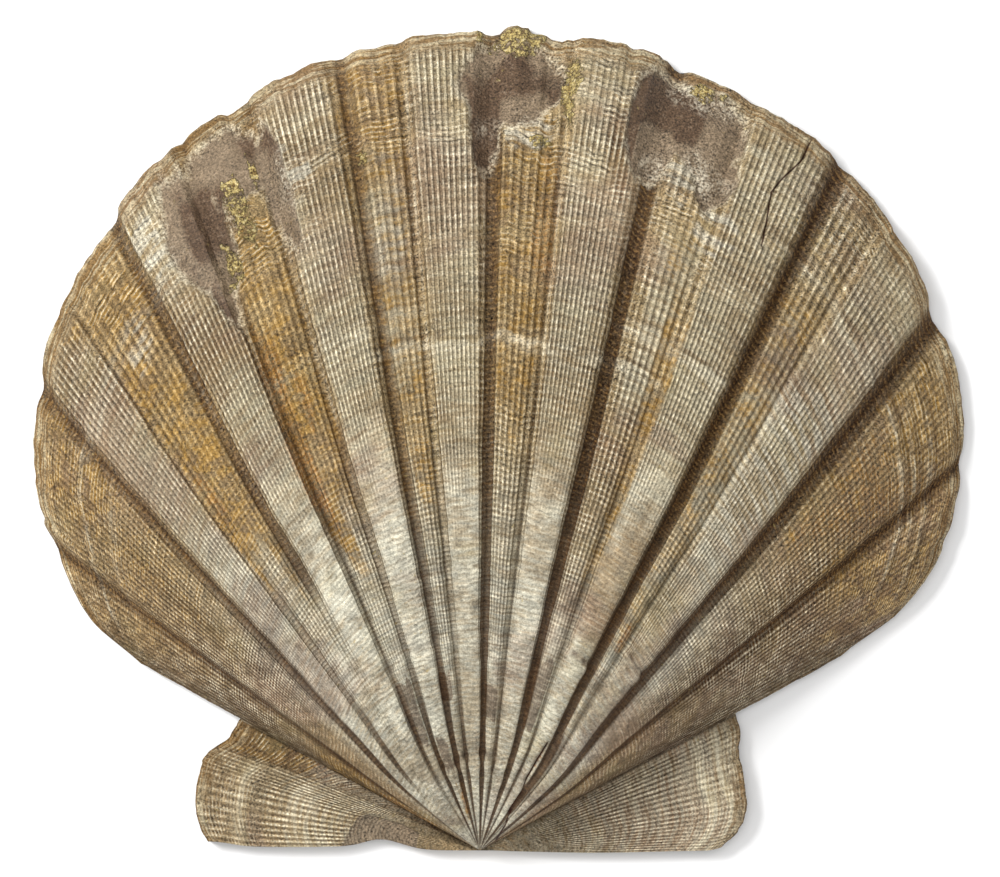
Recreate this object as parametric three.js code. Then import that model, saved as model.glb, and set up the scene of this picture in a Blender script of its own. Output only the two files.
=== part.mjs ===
// One valve of a large fossil scallop, lying with its hollow side down.
// The shell is a single grown piece: a domed, ribbed disc that fans out from the beak,
// with a flat ear on each side of the beak along the straight hinge line.
// Lengths are in millimetres and angles in degrees, counted from +Y at the beak, + towards +X.

import * as THREE from "three";

// Wall and dome
const CROWN_RISE = 27; // rise of the dome above the edge of the disc
const EDGE_THICKNESS = 2.2; // wall at the free edge of the disc
const HINGE_THICKNESS = 3.2; // wall along the hinge line
const WALL_THICKNESS = 3.4; // wall under the crown
const UMBO_POWER = 0.7; // steepness of the rise out of the beak
const MARGIN_POWER = 0.88; // fullness of the fall towards the margin
const FLANK_POWER = 3; // how long the dome stays high before the flanks drop
const FLANK_FULLNESS = 0.8; // roundness of the drop along the flanks

// The margin of the disc: angle, then distance from the beak. The first and last points end
// the straight flanks of the disc, where its free edge starts.
const MARGIN = [
  [-61.2, 57.6],
  [-60, 66],
  [-57, 73.5],
  [-50, 87],
  [-40, 99.8],
  [-30, 109],
  [-20, 116],
  [-10, 120.5],
  [0, 122],
  [10, 121.8],
  [20, 119],
  [30, 114.8],
  [40, 106],
  [50, 94.8],
  [57, 83.5],
  [60.6, 74],
  [61.8, 61.1],
];

// Each ear's outer edge, from its meeting with the disc down to its corner on the hinge line.
const LEFT_EAR = [
  [-35.6, 19.6],
  [-37.2, 16.6],
  [-40.2, 14.4],
  [-41.8, 11.6],
  [-42, 5.4],
  [-40.6, 0],
];
const RIGHT_EAR = [
  [38.1, 20.4],
  [38.8, 16.6],
  [39, 11.4],
  [39.6, 6.4],
  [38.4, 2.6],
  [36.4, 0],
];
const EAR_SWELL = 0.9; // an ear's slight swelling between the disc and the hinge line

// The broad ribs: the angles of both feet, and the height as a share of a full rib.
const RIBS = [
  { from: -55, to: -49.5, height: 0.55 },
  { from: -45, to: -38, height: 0.9 },
  { from: -32, to: -24.4, height: 1 },
  { from: -18.6, to: -10.9, height: 1 },
  { from: -6.2, to: 1.2, height: 1 },
  { from: 7, to: 15, height: 1 },
  { from: 21.4, to: 29.5, height: 1 },
  { from: 34.2, to: 42.6, height: 1 },
  { from: 53, to: 60.6, height: 0.55 },
];
const RIB_HEIGHT = 2.1; // a full rib near the margin
const RIB_GROWTH = 0.03; // rise of a rib for each millimetre from the beak, up to its full height
const RIB_SIDE = 1.5; // angle taken by a rib's steep side
const RIB_CROWN = 0.12; // extra height along a rib's middle, as a share of its height
const SPACE_SWELL = 0.16; // swelling of the space between two ribs, as a share of a rib's height
const FOLD_SHARE = 0.75; // depth of a rib's hollow on the inner side, as a share of its height

// Ribs bend a little towards the middle as they run out to the margin.
const RIB_BEND = [
  [0, 0.26],
  [15, 0.23],
  [27, 0.08],
  [42, 0.01],
  [60, -0.01],
  [95, -0.06],
  [125, -0.07],
];

// The hollow
const HOLLOW_ANGLE = 57.5; // half the angle of the hollow's fan
const HINGE_PLATE = 8; // solid plate between the hinge line and the hollow
const REST_BAND = 3; // flat band under the margin, between two ribs

// The grid
const ROWS = 18; // rows from the beak to the margin
const EAR_ROW = 14; // the row on which the ears end and the free flank starts
const EAR_REACH = 41 / 58; // that row's place, as a share of the way to the margin
const ROW_POWER = Math.log(EAR_REACH) / Math.log(EAR_ROW / ROWS);
const HOLLOW_ROW_POWER = 1.5; // rows under the umbo lie closer
const EAR_COLUMNS = 7;
const FLANK_COLUMNS = 3;
const SPACE_COLUMNS = 3;

const radians = THREE.MathUtils.degToRad;
const LEFT_CREASE = MARGIN[0][0];
const RIGHT_CREASE = MARGIN.at(-1)[0];

// A smooth curve y(x) through points: cubic pieces whose slope at a point comes from its neighbours.
function smoothThrough(points, x) {
  const last = points.length - 1;
  const slope = (i) => {
    const before = points[Math.max(i - 1, 0)];
    const after = points[Math.min(i + 1, last)];
    return (after[1] - before[1]) / (after[0] - before[0]);
  };
  let i = 0;
  while (i < last - 1 && x > points[i + 1][0]) {
    i += 1;
  }
  const [x0, y0] = points[i];
  const [x1, y1] = points[i + 1];
  const span = x1 - x0;
  const t = THREE.MathUtils.clamp((x - x0) / span, 0, 1);
  const ease = t * t * (3 - 2 * t);
  const rise = t * (1 - t) * ((1 - t) * slope(i) - t * slope(i + 1)) * span;
  return y0 + (y1 - y0) * ease + rise;
}

// The dome's profile along a ray: 0 at the beak and the margin, 1 at its crown.
function profile(share) {
  const crown = UMBO_POWER / (UMBO_POWER + MARGIN_POWER);
  const peak = crown ** UMBO_POWER * (1 - crown) ** MARGIN_POWER;
  const inside = THREE.MathUtils.clamp(share, 0, 1);
  return (inside ** UMBO_POWER * (1 - inside) ** MARGIN_POWER) / peak;
}

// The dome's profile across the rays: 1 in the middle, 0 at a half angle and past it.
function arch(angle, halfAngle) {
  const share = Math.min(Math.abs(angle / halfAngle), 1);
  return (1 - share ** FLANK_POWER) ** FLANK_FULLNESS;
}

// A rib's cross-section: 0 at its feet and outside them, 1 on its shoulders, a little more between.
function ribShape(rib, angle) {
  const up = THREE.MathUtils.smoothstep(angle, rib.from, rib.from + RIB_SIDE);
  const down = THREE.MathUtils.smoothstep(angle, rib.to - RIB_SIDE, rib.to);
  const middle = (angle - rib.from) / (rib.to - rib.from);
  const crown = RIB_CROWN * Math.sin(Math.PI * THREE.MathUtils.clamp(middle, 0, 1));
  return rib.height * (up * (1 - down) + crown);
}

function ribsAt(angle) {
  return RIBS.reduce((sum, rib) => sum + ribShape(rib, angle), 0);
}

// The low swelling of the spaces between neighbouring ribs.
function spacesAt(angle) {
  return RIBS.slice(1).reduce((sum, rib, i) => {
    const start = RIBS[i].to;
    const middle = (angle - start) / (rib.from - start);
    return sum + Math.sin(Math.PI * THREE.MathUtils.clamp(middle, 0, 1));
  }, 0);
}

function ribRise(distance) {
  return Math.min(RIB_HEIGHT, RIB_GROWTH * distance);
}

// A point of the disc: its place in plan, its distance from the beak and its share of the way out.
function discPoint(angle, share) {
  const crease = angle < 0 ? LEFT_CREASE : RIGHT_CREASE;
  const bend = smoothThrough(RIB_BEND, share * smoothThrough(MARGIN, angle));
  const turned = angle + bend * angle * (1 - (angle / crease) ** 2);
  const reach = smoothThrough(MARGIN, turned);
  const distance = share * reach;
  const x = distance * Math.sin(radians(turned));
  const y = distance * Math.cos(radians(turned));
  return { x, y, angle, turned, reach, distance, share };
}

function outerHeight(p) {
  const halfAngle = p.angle < 0 ? LEFT_CREASE : RIGHT_CREASE;
  const beakLift = (HINGE_THICKNESS - EDGE_THICKNESS) * (1 - p.share) ** 8;
  const relief = ribsAt(p.angle) + SPACE_SWELL * spacesAt(p.angle);
  return (
    EDGE_THICKNESS +
    beakLift +
    CROWN_RISE * profile(p.share) * arch(p.angle, halfAngle) +
    ribRise(p.distance) * relief
  );
}

// The hollow starts at the hinge plate and ends at the band that the margin rests on.
function hollowStart(p) {
  return HINGE_PLATE / Math.cos(radians(p.turned));
}

function innerHeight(p) {
  const start = hollowStart(p);
  const share = (p.distance - start) / (p.reach - REST_BAND - start);
  const rise = CROWN_RISE + EDGE_THICKNESS - WALL_THICKNESS;
  const fold = THREE.MathUtils.smoothstep(share, 0, 0.3) * ribRise(p.distance) * FOLD_SHARE;
  return rise * profile(share) * arch(p.angle, HOLLOW_ANGLE) + fold * ribsAt(p.angle);
}

// Column angles: a rib's feet, shoulders and middle, evenly spread columns between ribs, and the
// two flanks between the outermost ribs and the ears.
function discColumns() {
  const spread = (from, to, parts) =>
    Array.from({ length: parts - 1 }, (_, i) => from + ((to - from) * (i + 1)) / parts);
  const angles = [LEFT_CREASE, ...spread(LEFT_CREASE, RIBS[0].from, FLANK_COLUMNS)];
  RIBS.forEach((rib, i) => {
    const middle = (rib.from + rib.to) / 2;
    angles.push(rib.from, rib.from + RIB_SIDE, middle, rib.to - RIB_SIDE, rib.to);
    const next = RIBS[i + 1];
    if (next) {
      angles.push(...spread(rib.to, next.from, SPACE_COLUMNS));
    }
  });
  angles.push(RIGHT_CREASE);
  return angles;
}

// The share of the way out at which a row lies.
function rowShare(row) {
  return (row / ROWS) ** ROW_POWER;
}

// On the inner side, rows under the hollow run from the hinge plate to the resting band.
function innerShare(angle, row) {
  if (Math.abs(angle) >= HOLLOW_ANGLE || row === 0 || row === ROWS) {
    return rowShare(row);
  }
  const p = discPoint(angle, 0.5);
  const start = hollowStart(p) / p.reach;
  const end = 1 - REST_BAND / p.reach;
  return start + (end - start) * ((row - 1) / (ROWS - 2)) ** HOLLOW_ROW_POWER;
}

function outerDiscVertex(angle, row) {
  const p = discPoint(angle, rowShare(row));
  return [p.x, p.y, outerHeight(p)];
}

function innerDiscVertex(angle, row) {
  const p = discPoint(angle, innerShare(angle, row));
  return [p.x, p.y, innerHeight(p)];
}

// A point of an ear's outer edge, from the disc (0) to the hinge line (1).
function earEdge(edge, share) {
  const at = share * (edge.length - 1);
  const x = smoothThrough(edge.map((point, i) => [i, point[0]]), at);
  const y = smoothThrough(edge.map((point, i) => [i, point[1]]), at);
  return [x, y];
}

function earVertex(edge, across, row, isOuter) {
  const out = rowShare(row) / EAR_REACH;
  const [x, y] = earEdge(edge, across);
  const thickness = THREE.MathUtils.lerp(EDGE_THICKNESS, HINGE_THICKNESS, across);
  const beakLift = (HINGE_THICKNESS - thickness) * (1 - rowShare(row)) ** 8;
  const swell = EAR_SWELL * Math.sin(Math.PI * across) * out;
  return [x * out, y * out, isOuter ? thickness + beakLift + swell : 0];
}

// One side of the shell as columns of vertices, from the left hinge corner to the right one.
// Ear columns stop at the ears' row; every column starts at the beak.
function sideColumns(isOuter) {
  const discVertex = isOuter ? outerDiscVertex : innerDiscVertex;
  const column = (rows, vertex) => Array.from({ length: rows + 1 }, (_, row) => vertex(row));
  const ear = (edge, across) => column(EAR_ROW, (row) => earVertex(edge, across, row, isOuter));
  const steps = Array.from({ length: EAR_COLUMNS }, (_, i) => (i + 1) / EAR_COLUMNS);
  return [
    ...steps.toReversed().map((across) => ear(LEFT_EAR, across)),
    ...discColumns().map((angle) => column(ROWS, (row) => discVertex(angle, row))),
    ...steps.map((across) => ear(RIGHT_EAR, across)),
  ];
}

// Joins both sides, and the wall round the edge, into one closed surface.
function shellGeometry() {
  const vertices = [];
  const faces = [];
  const sides = [true, false].map((isOuter) => {
    const columns = sideColumns(isOuter);
    const beak = vertices.push(columns[0][0]) - 1;
    return columns.map((column) =>
      column.map((vertex, row) => (row === 0 ? beak : vertices.push(vertex) - 1)),
    );
  });
  const quad = (a, b, c, d) => {
    faces.push([a, b, c], [a, c, d]);
  };

  sides.forEach((columns, side) => {
    for (let i = 0; i < columns.length - 1; i += 1) {
      const rows = Math.min(columns[i].length, columns[i + 1].length) - 1;
      const [left, right] = side === 0 ? [columns[i], columns[i + 1]] : [columns[i + 1], columns[i]];
      faces.push([left[0], right[1], left[1]]);
      for (let row = 1; row < rows; row += 1) {
        quad(left[row], right[row], right[row + 1], left[row + 1]);
      }
    }
  });

  const [outer, inner] = sides.map(edgeLoop);
  outer.forEach((corner, i) => {
    const next = (i + 1) % outer.length;
    quad(corner, outer[next], inner[next], inner[i]);
  });
  return { vertices, faces };
}

// The edge as one loop: out along the left hinge, round the left ear, the disc and the right ear,
// and back along the right hinge to the beak.
function edgeLoop(columns) {
  const loop = [...columns[0]];
  for (let i = 1; i < columns.length; i += 1) {
    const before = columns[i - 1];
    const here = columns[i];
    if (here.length > before.length) {
      loop.push(...here.slice(before.length - 1));
    } else if (here.length < before.length) {
      loop.push(...before.slice(here.length - 1, -1).toReversed(), here.at(-1));
    } else {
      loop.push(here.at(-1));
    }
  }
  loop.push(...columns.at(-1).slice(1, -1).toReversed());
  return loop;
}

// Stands the shell on z = 0 with the middle of its plan at the origin.
function centred({ vertices, faces }) {
  const geometry = new THREE.BufferGeometry();
  geometry.setAttribute("position", new THREE.Float32BufferAttribute(vertices.flat(), 3));
  geometry.setIndex(faces.flat());
  geometry.computeBoundingBox();
  const middle = geometry.boundingBox.getCenter(new THREE.Vector3());
  geometry.translate(-middle.x, -middle.y, -geometry.boundingBox.min.z);
  geometry.computeVertexNormals();
  return geometry;
}

const fossilShell = new THREE.MeshStandardMaterial({
  color: 0xa59473,
  roughness: 0.85,
  metalness: 0,
});

const valve = new THREE.Mesh(centred(shellGeometry()), fossilShell);
valve.name = "shell_valve";

const group = new THREE.Group();
group.add(valve);

export default group;
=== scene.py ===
"""Looks of a fossil scallop valve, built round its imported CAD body.

The valve is one closed mesh. Its outer face is a fan of rays from the beak: a domed, ribbed disc
between two creases, and a flat ear outside each crease. Lengths inside the shell classes are in
millimetres from the beak and angles in degrees from +Y, + towards +X. The finished mesh is in metres.
"""

import logging
import math
from collections.abc import Sequence
from dataclasses import dataclass, field
from enum import Enum

import bpy
import numpy as np
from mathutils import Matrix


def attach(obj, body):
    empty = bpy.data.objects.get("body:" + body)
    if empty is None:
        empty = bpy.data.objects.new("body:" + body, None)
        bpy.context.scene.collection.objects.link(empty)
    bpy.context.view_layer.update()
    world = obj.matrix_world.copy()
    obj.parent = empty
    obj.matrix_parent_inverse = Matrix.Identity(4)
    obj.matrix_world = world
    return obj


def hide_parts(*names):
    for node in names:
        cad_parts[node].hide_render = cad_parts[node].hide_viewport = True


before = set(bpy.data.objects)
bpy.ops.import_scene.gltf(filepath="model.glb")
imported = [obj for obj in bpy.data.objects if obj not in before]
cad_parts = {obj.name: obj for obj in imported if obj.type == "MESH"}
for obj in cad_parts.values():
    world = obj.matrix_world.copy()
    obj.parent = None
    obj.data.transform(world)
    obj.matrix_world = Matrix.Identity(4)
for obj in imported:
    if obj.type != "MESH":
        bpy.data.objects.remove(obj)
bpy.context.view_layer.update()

LOG = logging.getLogger("scallop")
MM = 0.001
NODE = "shell_valve"
BODY = "root"
BEAK = (-2.815, -61.011)
NO_CRACK = 50.0
DEEPEST_STEP = 0.35
MAP_SPAN = 150.0
MAP_MARGIN = 0.01
STRIP_START, STRIP_LENGTH = 0.25, 0.7
STRIP_TOP, STRIP_MIDDLE, STRIP_BASE = 0.15, 0.12, 0.1

Points = Sequence[tuple[float, float]]
Array = np.ndarray
Grid = tuple[Array, Array]


# ---------------------------------------------------------------- curves and noise


def smoothstep(x: Array, low: float, high: float) -> Array:
    """Eases from 0 at low to 1 at high, level at both ends: 3t² - 2t³."""
    t = np.clip((x - low) / (high - low), 0, 1)
    return t * t * (3 - 2 * t)


def bell(x: Array, middle: float, width: float) -> Array:
    """A smooth bump of height 1 at the middle that falls to 0.37 one width away."""
    return np.exp(-(((x - middle) / width) ** 2))


def within(x: Array, low: float, high: float, soft: float) -> Array:
    """1 between low and high, easing to 0 over soft on each side of both limits."""
    return smoothstep(x, low - soft, low + soft) * (1 - smoothstep(x, high - soft, high + soft))


def smooth_through(points: Points, x: Array) -> Array:
    """A smooth curve y(x) through points: cubic pieces whose slopes come from the neighbours.

    Args:
        points: the curve's (x, y) points, in order of x.
        x: where to read the curve; past its ends it stays level.

    Returns:
        y at every x.
    """
    xs, ys = np.array(points, float).T
    last = len(xs) - 1
    before = np.maximum(np.arange(last + 1) - 1, 0)
    after = np.minimum(np.arange(last + 1) + 1, last)
    slope = (ys[after] - ys[before]) / (xs[after] - xs[before])
    i = np.clip(np.searchsorted(xs, x) - 1, 0, last - 1)
    span = xs[i + 1] - xs[i]
    t = np.clip((x - xs[i]) / span, 0, 1)
    ease = t * t * (3 - 2 * t)
    swing = t * (1 - t) * ((1 - t) * slope[i] - t * slope[i + 1]) * span
    return ys[i] + (ys[i + 1] - ys[i]) * ease + swing


def noise(x: Array, y: Array | float, seed: int) -> Array:
    """Smooth noise in 0..1: a hashed value at each whole grid corner, eased between the corners."""
    x, y = np.broadcast_arrays(x, y)
    column, row = np.floor(x).astype(np.int64), np.floor(y).astype(np.int64)
    across, along = x - column, y - row
    across = across * across * (3 - 2 * across)
    along = along * along * (3 - 2 * along)

    def corner(i: Array, j: Array) -> Array:
        """The hashed value of one grid corner."""
        mixed = (i * 374761393 + j * 668265263 + seed * 974634777) & 0xFFFFFFFF
        mixed = ((mixed ^ (mixed >> 13)) * 1274126177) & 0xFFFFFFFF
        return ((mixed ^ (mixed >> 16)) & 0xFFFF) / 0xFFFF

    near = corner(column, row) * (1 - across) + corner(column + 1, row) * across
    far = corner(column, row + 1) * (1 - across) + corner(column + 1, row + 1) * across
    return near * (1 - along) + far * along


def rough(x: Array, y: Array | float, seed: int, octaves: int = 3) -> Array:
    """Noise in 0..1 with finer layers: each octave has twice the detail and half the weight."""
    total = 0.0
    weight = 0.0
    for octave in range(octaves):
        share = 0.5**octave
        total = total + share * noise(x * 2**octave, y * 2**octave, seed + octave)
        weight += share
    return total / weight


# ---------------------------------------------------------------- the shell's plan


class Side(Enum):
    """Which side of the beak an ear is on."""

    LEFT = -1
    RIGHT = 1


@dataclass(frozen=True)
class Rib:
    """One broad rib: the angles of its feet, the angles its sides take and its height."""

    start: float
    end: float
    left_side: float
    right_side: float
    height: float = 1.0

    def shape(self, angle: Array, roundness: Array | float = 0.0) -> Array:
        """Height across the rib: flat-topped with steep sides, or rounder near the beak.

        Args:
            angle: the rays' own angles.
            roundness: 0 for a flat top, 1 for a half round.

        Returns:
            0 at the feet and about 1 along the top.
        """
        up = smoothstep(angle, self.start, self.start + self.left_side)
        down = smoothstep(angle, self.end - self.right_side, self.end)
        middle = np.sin(np.pi * np.clip((angle - self.start) / (self.end - self.start), 0, 1))
        flat = up * (1 - down) + 0.12 * middle
        return self.height * ((1 - roundness) * flat + roundness * 1.1 * np.sqrt(middle))

    def bow(self, angle: Array) -> Array:
        """1 along the rib's middle, falling to 0 at its feet."""
        t = np.clip((angle - self.start) / (self.end - self.start), 0, 1)
        return 4 * t * (1 - t)

    def top(self, angle: Array) -> Array:
        """1 on the rib's broad top, 0 down its sides."""
        return within(
            angle, self.start + 0.8 * self.left_side, self.end - 0.8 * self.right_side, 0.35
        )


STEEP, GENTLE = 1.7, 1.1
RIBS = (
    Rib(-55.0, -49.5, STEEP, GENTLE, 0.55),
    Rib(-45.0, -38.0, STEEP, GENTLE, 0.9),
    Rib(-32.0, -24.4, STEEP, GENTLE),
    Rib(-18.6, -10.9, GENTLE, STEEP),
    Rib(-6.2, 1.2, GENTLE, STEEP),
    Rib(7.0, 15.0, GENTLE, STEEP),
    Rib(21.4, 29.5, GENTLE, STEEP),
    Rib(34.2, 42.6, GENTLE, STEEP),
    Rib(53.0, 60.6, STEEP, GENTLE, 0.55),
)


@dataclass(frozen=True)
class Plan:
    """The valve's outline and driving sizes."""

    crown_rise: float = 27.0
    edge_thickness: float = 2.2
    hinge_thickness: float = 3.2
    wall_thickness: float = 3.4
    umbo_power: float = 0.7
    margin_power: float = 0.88
    flank_power: float = 3.0
    flank_fullness: float = 0.8
    rib_height: float = 2.1
    rib_growth: float = 0.036
    space_swell: float = 0.26
    fold_share: float = 0.75
    hollow_angle: float = 57.5
    hinge_plate: float = 8.0
    rest_band: float = 3.0
    ear_reach: float = 41 / 58
    ear_swell: float = 0.9
    length: float = 122.0
    margin: Points = (
        (-61.2, 57.6), (-60, 66), (-57, 73.5), (-50, 87), (-40, 99.8), (-30, 109), (-20, 116),
        (-10, 120.5), (0, 122), (10, 121.8), (20, 119), (30, 114.8), (40, 106), (50, 94.8),
        (57, 82.2), (60.6, 72.4), (61.8, 61.1),
    )
    rib_bend: Points = (
        (0, 0.26), (15, 0.23), (27, 0.08), (42, 0.01), (60, -0.01), (95, -0.06), (125, -0.07),
    )
    left_ear: Points = (
        (-35.6, 19.6), (-37.2, 16.6), (-40.2, 14.4), (-41.8, 11.6), (-42, 5.4), (-40.6, 0),
    )
    right_ear: Points = (
        (38.1, 20.4), (38.8, 16.6), (39, 11.4), (39.6, 6.4), (38.4, 2.6), (36.4, 0),
    )

    def creases(self) -> tuple[float, float]:
        """The angles of the two creases between the disc and the ears."""
        return self.margin[0][0], self.margin[-1][0]

    def reach(self, angle: Array) -> Array:
        """Distance from the beak to the margin, with a ragged, slightly scalloped edge."""
        scallop = 0.3 * sum(rib.shape(angle) for rib in RIBS) - 0.3
        ragged = 0.9 * (rough(angle * 0.8, 0.5, 11, 5) - 0.45)
        chips = -0.9 * smoothstep(noise(angle * 0.55, 2.5, 12), 0.8, 0.95)
        broken = 0.7 * within(angle, -30, -17.6, 0.25) - 1.0 * within(angle, -19.2, -17.6, 0.4)
        crusted = 1.2 * within(angle, 1.2, 3.4, 0.7) - 0.6 * within(angle, 33, 42, 2)
        left, right = self.creases()
        fade = smoothstep(angle, left, left + 3) * smoothstep(-angle, -right, -right + 3)
        return smooth_through(self.margin, angle) + fade * (
            scallop + ragged + chips + broken + crusted
        )

    def profile(self, share: Array) -> Array:
        """The dome along a ray: share^a · (1 - share)^b, scaled to 1 at its crown."""
        crown = self.umbo_power / (self.umbo_power + self.margin_power)
        peak = crown**self.umbo_power * (1 - crown) ** self.margin_power
        inside = np.clip(share, 0, 1)
        return inside**self.umbo_power * (1 - inside) ** self.margin_power / peak

    def arch(self, angle: Array, half_angle: Array) -> Array:
        """The dome across the rays: (1 - |angle / half|^p)^q, 0 from the half angle on."""
        share = np.minimum(np.abs(angle / half_angle), 1)
        return (1 - share**self.flank_power) ** self.flank_fullness

    def rib_rise(self, distance: Array) -> Array:
        """Height of a full rib at a distance from the beak."""
        return np.minimum(self.rib_height, self.rib_growth * distance)

    def spaces(self, angle: Array) -> Array:
        """The convex swelling of the spaces between neighbouring ribs, 0..1."""
        total = np.zeros_like(angle)
        for before, after in zip(RIBS, RIBS[1:]):
            t = np.clip((angle - before.end) / (after.start - before.end), 0, 1)
            total = total + np.sin(np.pi * t)
        return total

    def on_disc(self, angle: Array, share: Array) -> "Spot":
        """The place in plan of points of the disc.

        The ray's angle bends towards the middle as it runs out: angle + bend(distance) · angle ·
        (1 - (angle / crease)²), so that the creases stay straight.

        Args:
            angle: the ray's own angle, as a column.
            share: the share of the way from the beak to the margin, as a row or a full grid.

        Returns:
            The points' places.
        """
        left, right = self.creases()
        crease = np.where(angle < 0, left, right)
        bend = smooth_through(self.rib_bend, share * smooth_through(self.margin, angle))
        turned = angle + bend * angle * (1 - (angle / crease) ** 2)
        reach = self.reach(turned)
        distance = share * reach
        x = distance * np.sin(np.radians(turned))
        y = distance * np.cos(np.radians(turned))
        grid = [np.broadcast_to(a, distance.shape) for a in (angle, turned, reach, share)]
        return Spot(x, y, grid[0], grid[1], grid[2], distance, grid[3])

    def outer_height(self, spot: "Spot") -> Array:
        """Height of the disc's outer face before its fine relief."""
        left, right = self.creases()
        half = np.where(spot.angle < 0, left, right)
        beak = (self.hinge_thickness - self.edge_thickness) * (1 - spot.share) ** 8
        near = 1 - smoothstep(spot.distance, 24, 85)
        ribs = sum(rib.shape(spot.angle, 0.85 * near) for rib in RIBS)
        relief = ribs + (self.space_swell + 0.7 * near) * self.spaces(spot.angle)
        dome = self.crown_rise * self.profile(spot.share) * self.arch(spot.angle, half)
        return self.edge_thickness + beak + dome + self.rib_rise(spot.distance) * relief

    def hollow_start(self, spot: "Spot") -> Array:
        """Distance from the beak at which the hollow starts, behind a straight hinge plate."""
        return self.hinge_plate / np.cos(np.radians(spot.turned))

    def inner_height(self, spot: "Spot") -> Array:
        """Height of the inner face: a smaller dome, with the ribs' hollows pressed into it."""
        start = self.hollow_start(spot)
        share = (spot.distance - start) / (spot.reach - self.rest_band - start)
        rise = self.crown_rise + self.edge_thickness - self.wall_thickness
        fold = smoothstep(share, 0, 0.3) * self.rib_rise(spot.distance) * self.fold_share
        ribs = sum(rib.shape(spot.angle) for rib in RIBS)
        return rise * self.profile(share) * self.arch(spot.angle, self.hollow_angle) + fold * ribs

    def ear_edge(self, side: Side, across: Array) -> tuple[Array, Array]:
        """Points of an ear's outer edge, from the crease (0) to the hinge line (1)."""
        points = self.left_ear if side is Side.LEFT else self.right_ear
        at = across * (len(points) - 1)
        x = smooth_through([(i, p[0]) for i, p in enumerate(points)], at)
        y = smooth_through([(i, p[1]) for i, p in enumerate(points)], at)
        return x, y


@dataclass
class Spot:
    """Places on the disc, as arrays of one shape."""

    x: Array
    y: Array
    angle: Array
    turned: Array
    reach: Array
    distance: Array
    share: Array


# ---------------------------------------------------------------- weathering and colour zones


class Tone(Enum):
    """The colour zones that each vertex carries a strength for."""

    PALE = "pale"
    OCHRE = "ochre"
    RUST = "rust"
    UMBER = "umber"
    BARE = "bare"
    CRUST = "crust"
    SCUFF = "scuff"
    WORN = "worn"


@dataclass(frozen=True)
class Zone:
    """A soft-edged patch of one tone, between two angles and two distances from the beak."""

    angles: tuple[float, float]
    reaches: tuple[float, float]
    strength: float
    soft_angle: float
    soft_reach: float

    def strength_at(self, spot: Spot) -> Array:
        """The zone's strength, with edges that wander a little."""
        drift = rough(spot.angle * 0.8, spot.distance * 0.11, 31, 2) - 0.5
        slip = rough(spot.angle * 0.6, spot.distance * 0.09, 37, 2) - 0.5
        across = within(spot.angle + 1.2 * drift, *self.angles, self.soft_angle)
        out = spot.distance + 3.2 * self.soft_reach * slip
        return self.strength * across * within(out, *self.reaches, self.soft_reach)


@dataclass(frozen=True)
class Break:
    """A place where a layer has come off or grown on: an oval with a ragged edge."""

    angle: float
    distance: float
    half_angle: float
    half_reach: float
    ragged: float = 0.5
    soft: float = 0.09

    def strength_at(self, spot: Spot) -> Array:
        """1 inside the oval, 0 outside, with a ragged edge."""
        away = ((spot.turned - self.angle) / self.half_angle) ** 2
        out = ((spot.distance - self.distance) / self.half_reach) ** 2
        edge = rough(spot.turned * 1.1, spot.distance * 0.22, 53, 3) - 0.5
        worn = np.sqrt(away + out) + self.ragged * edge
        return 1 - smoothstep(worn, 0.95 - self.soft, 0.95 + self.soft)


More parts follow.
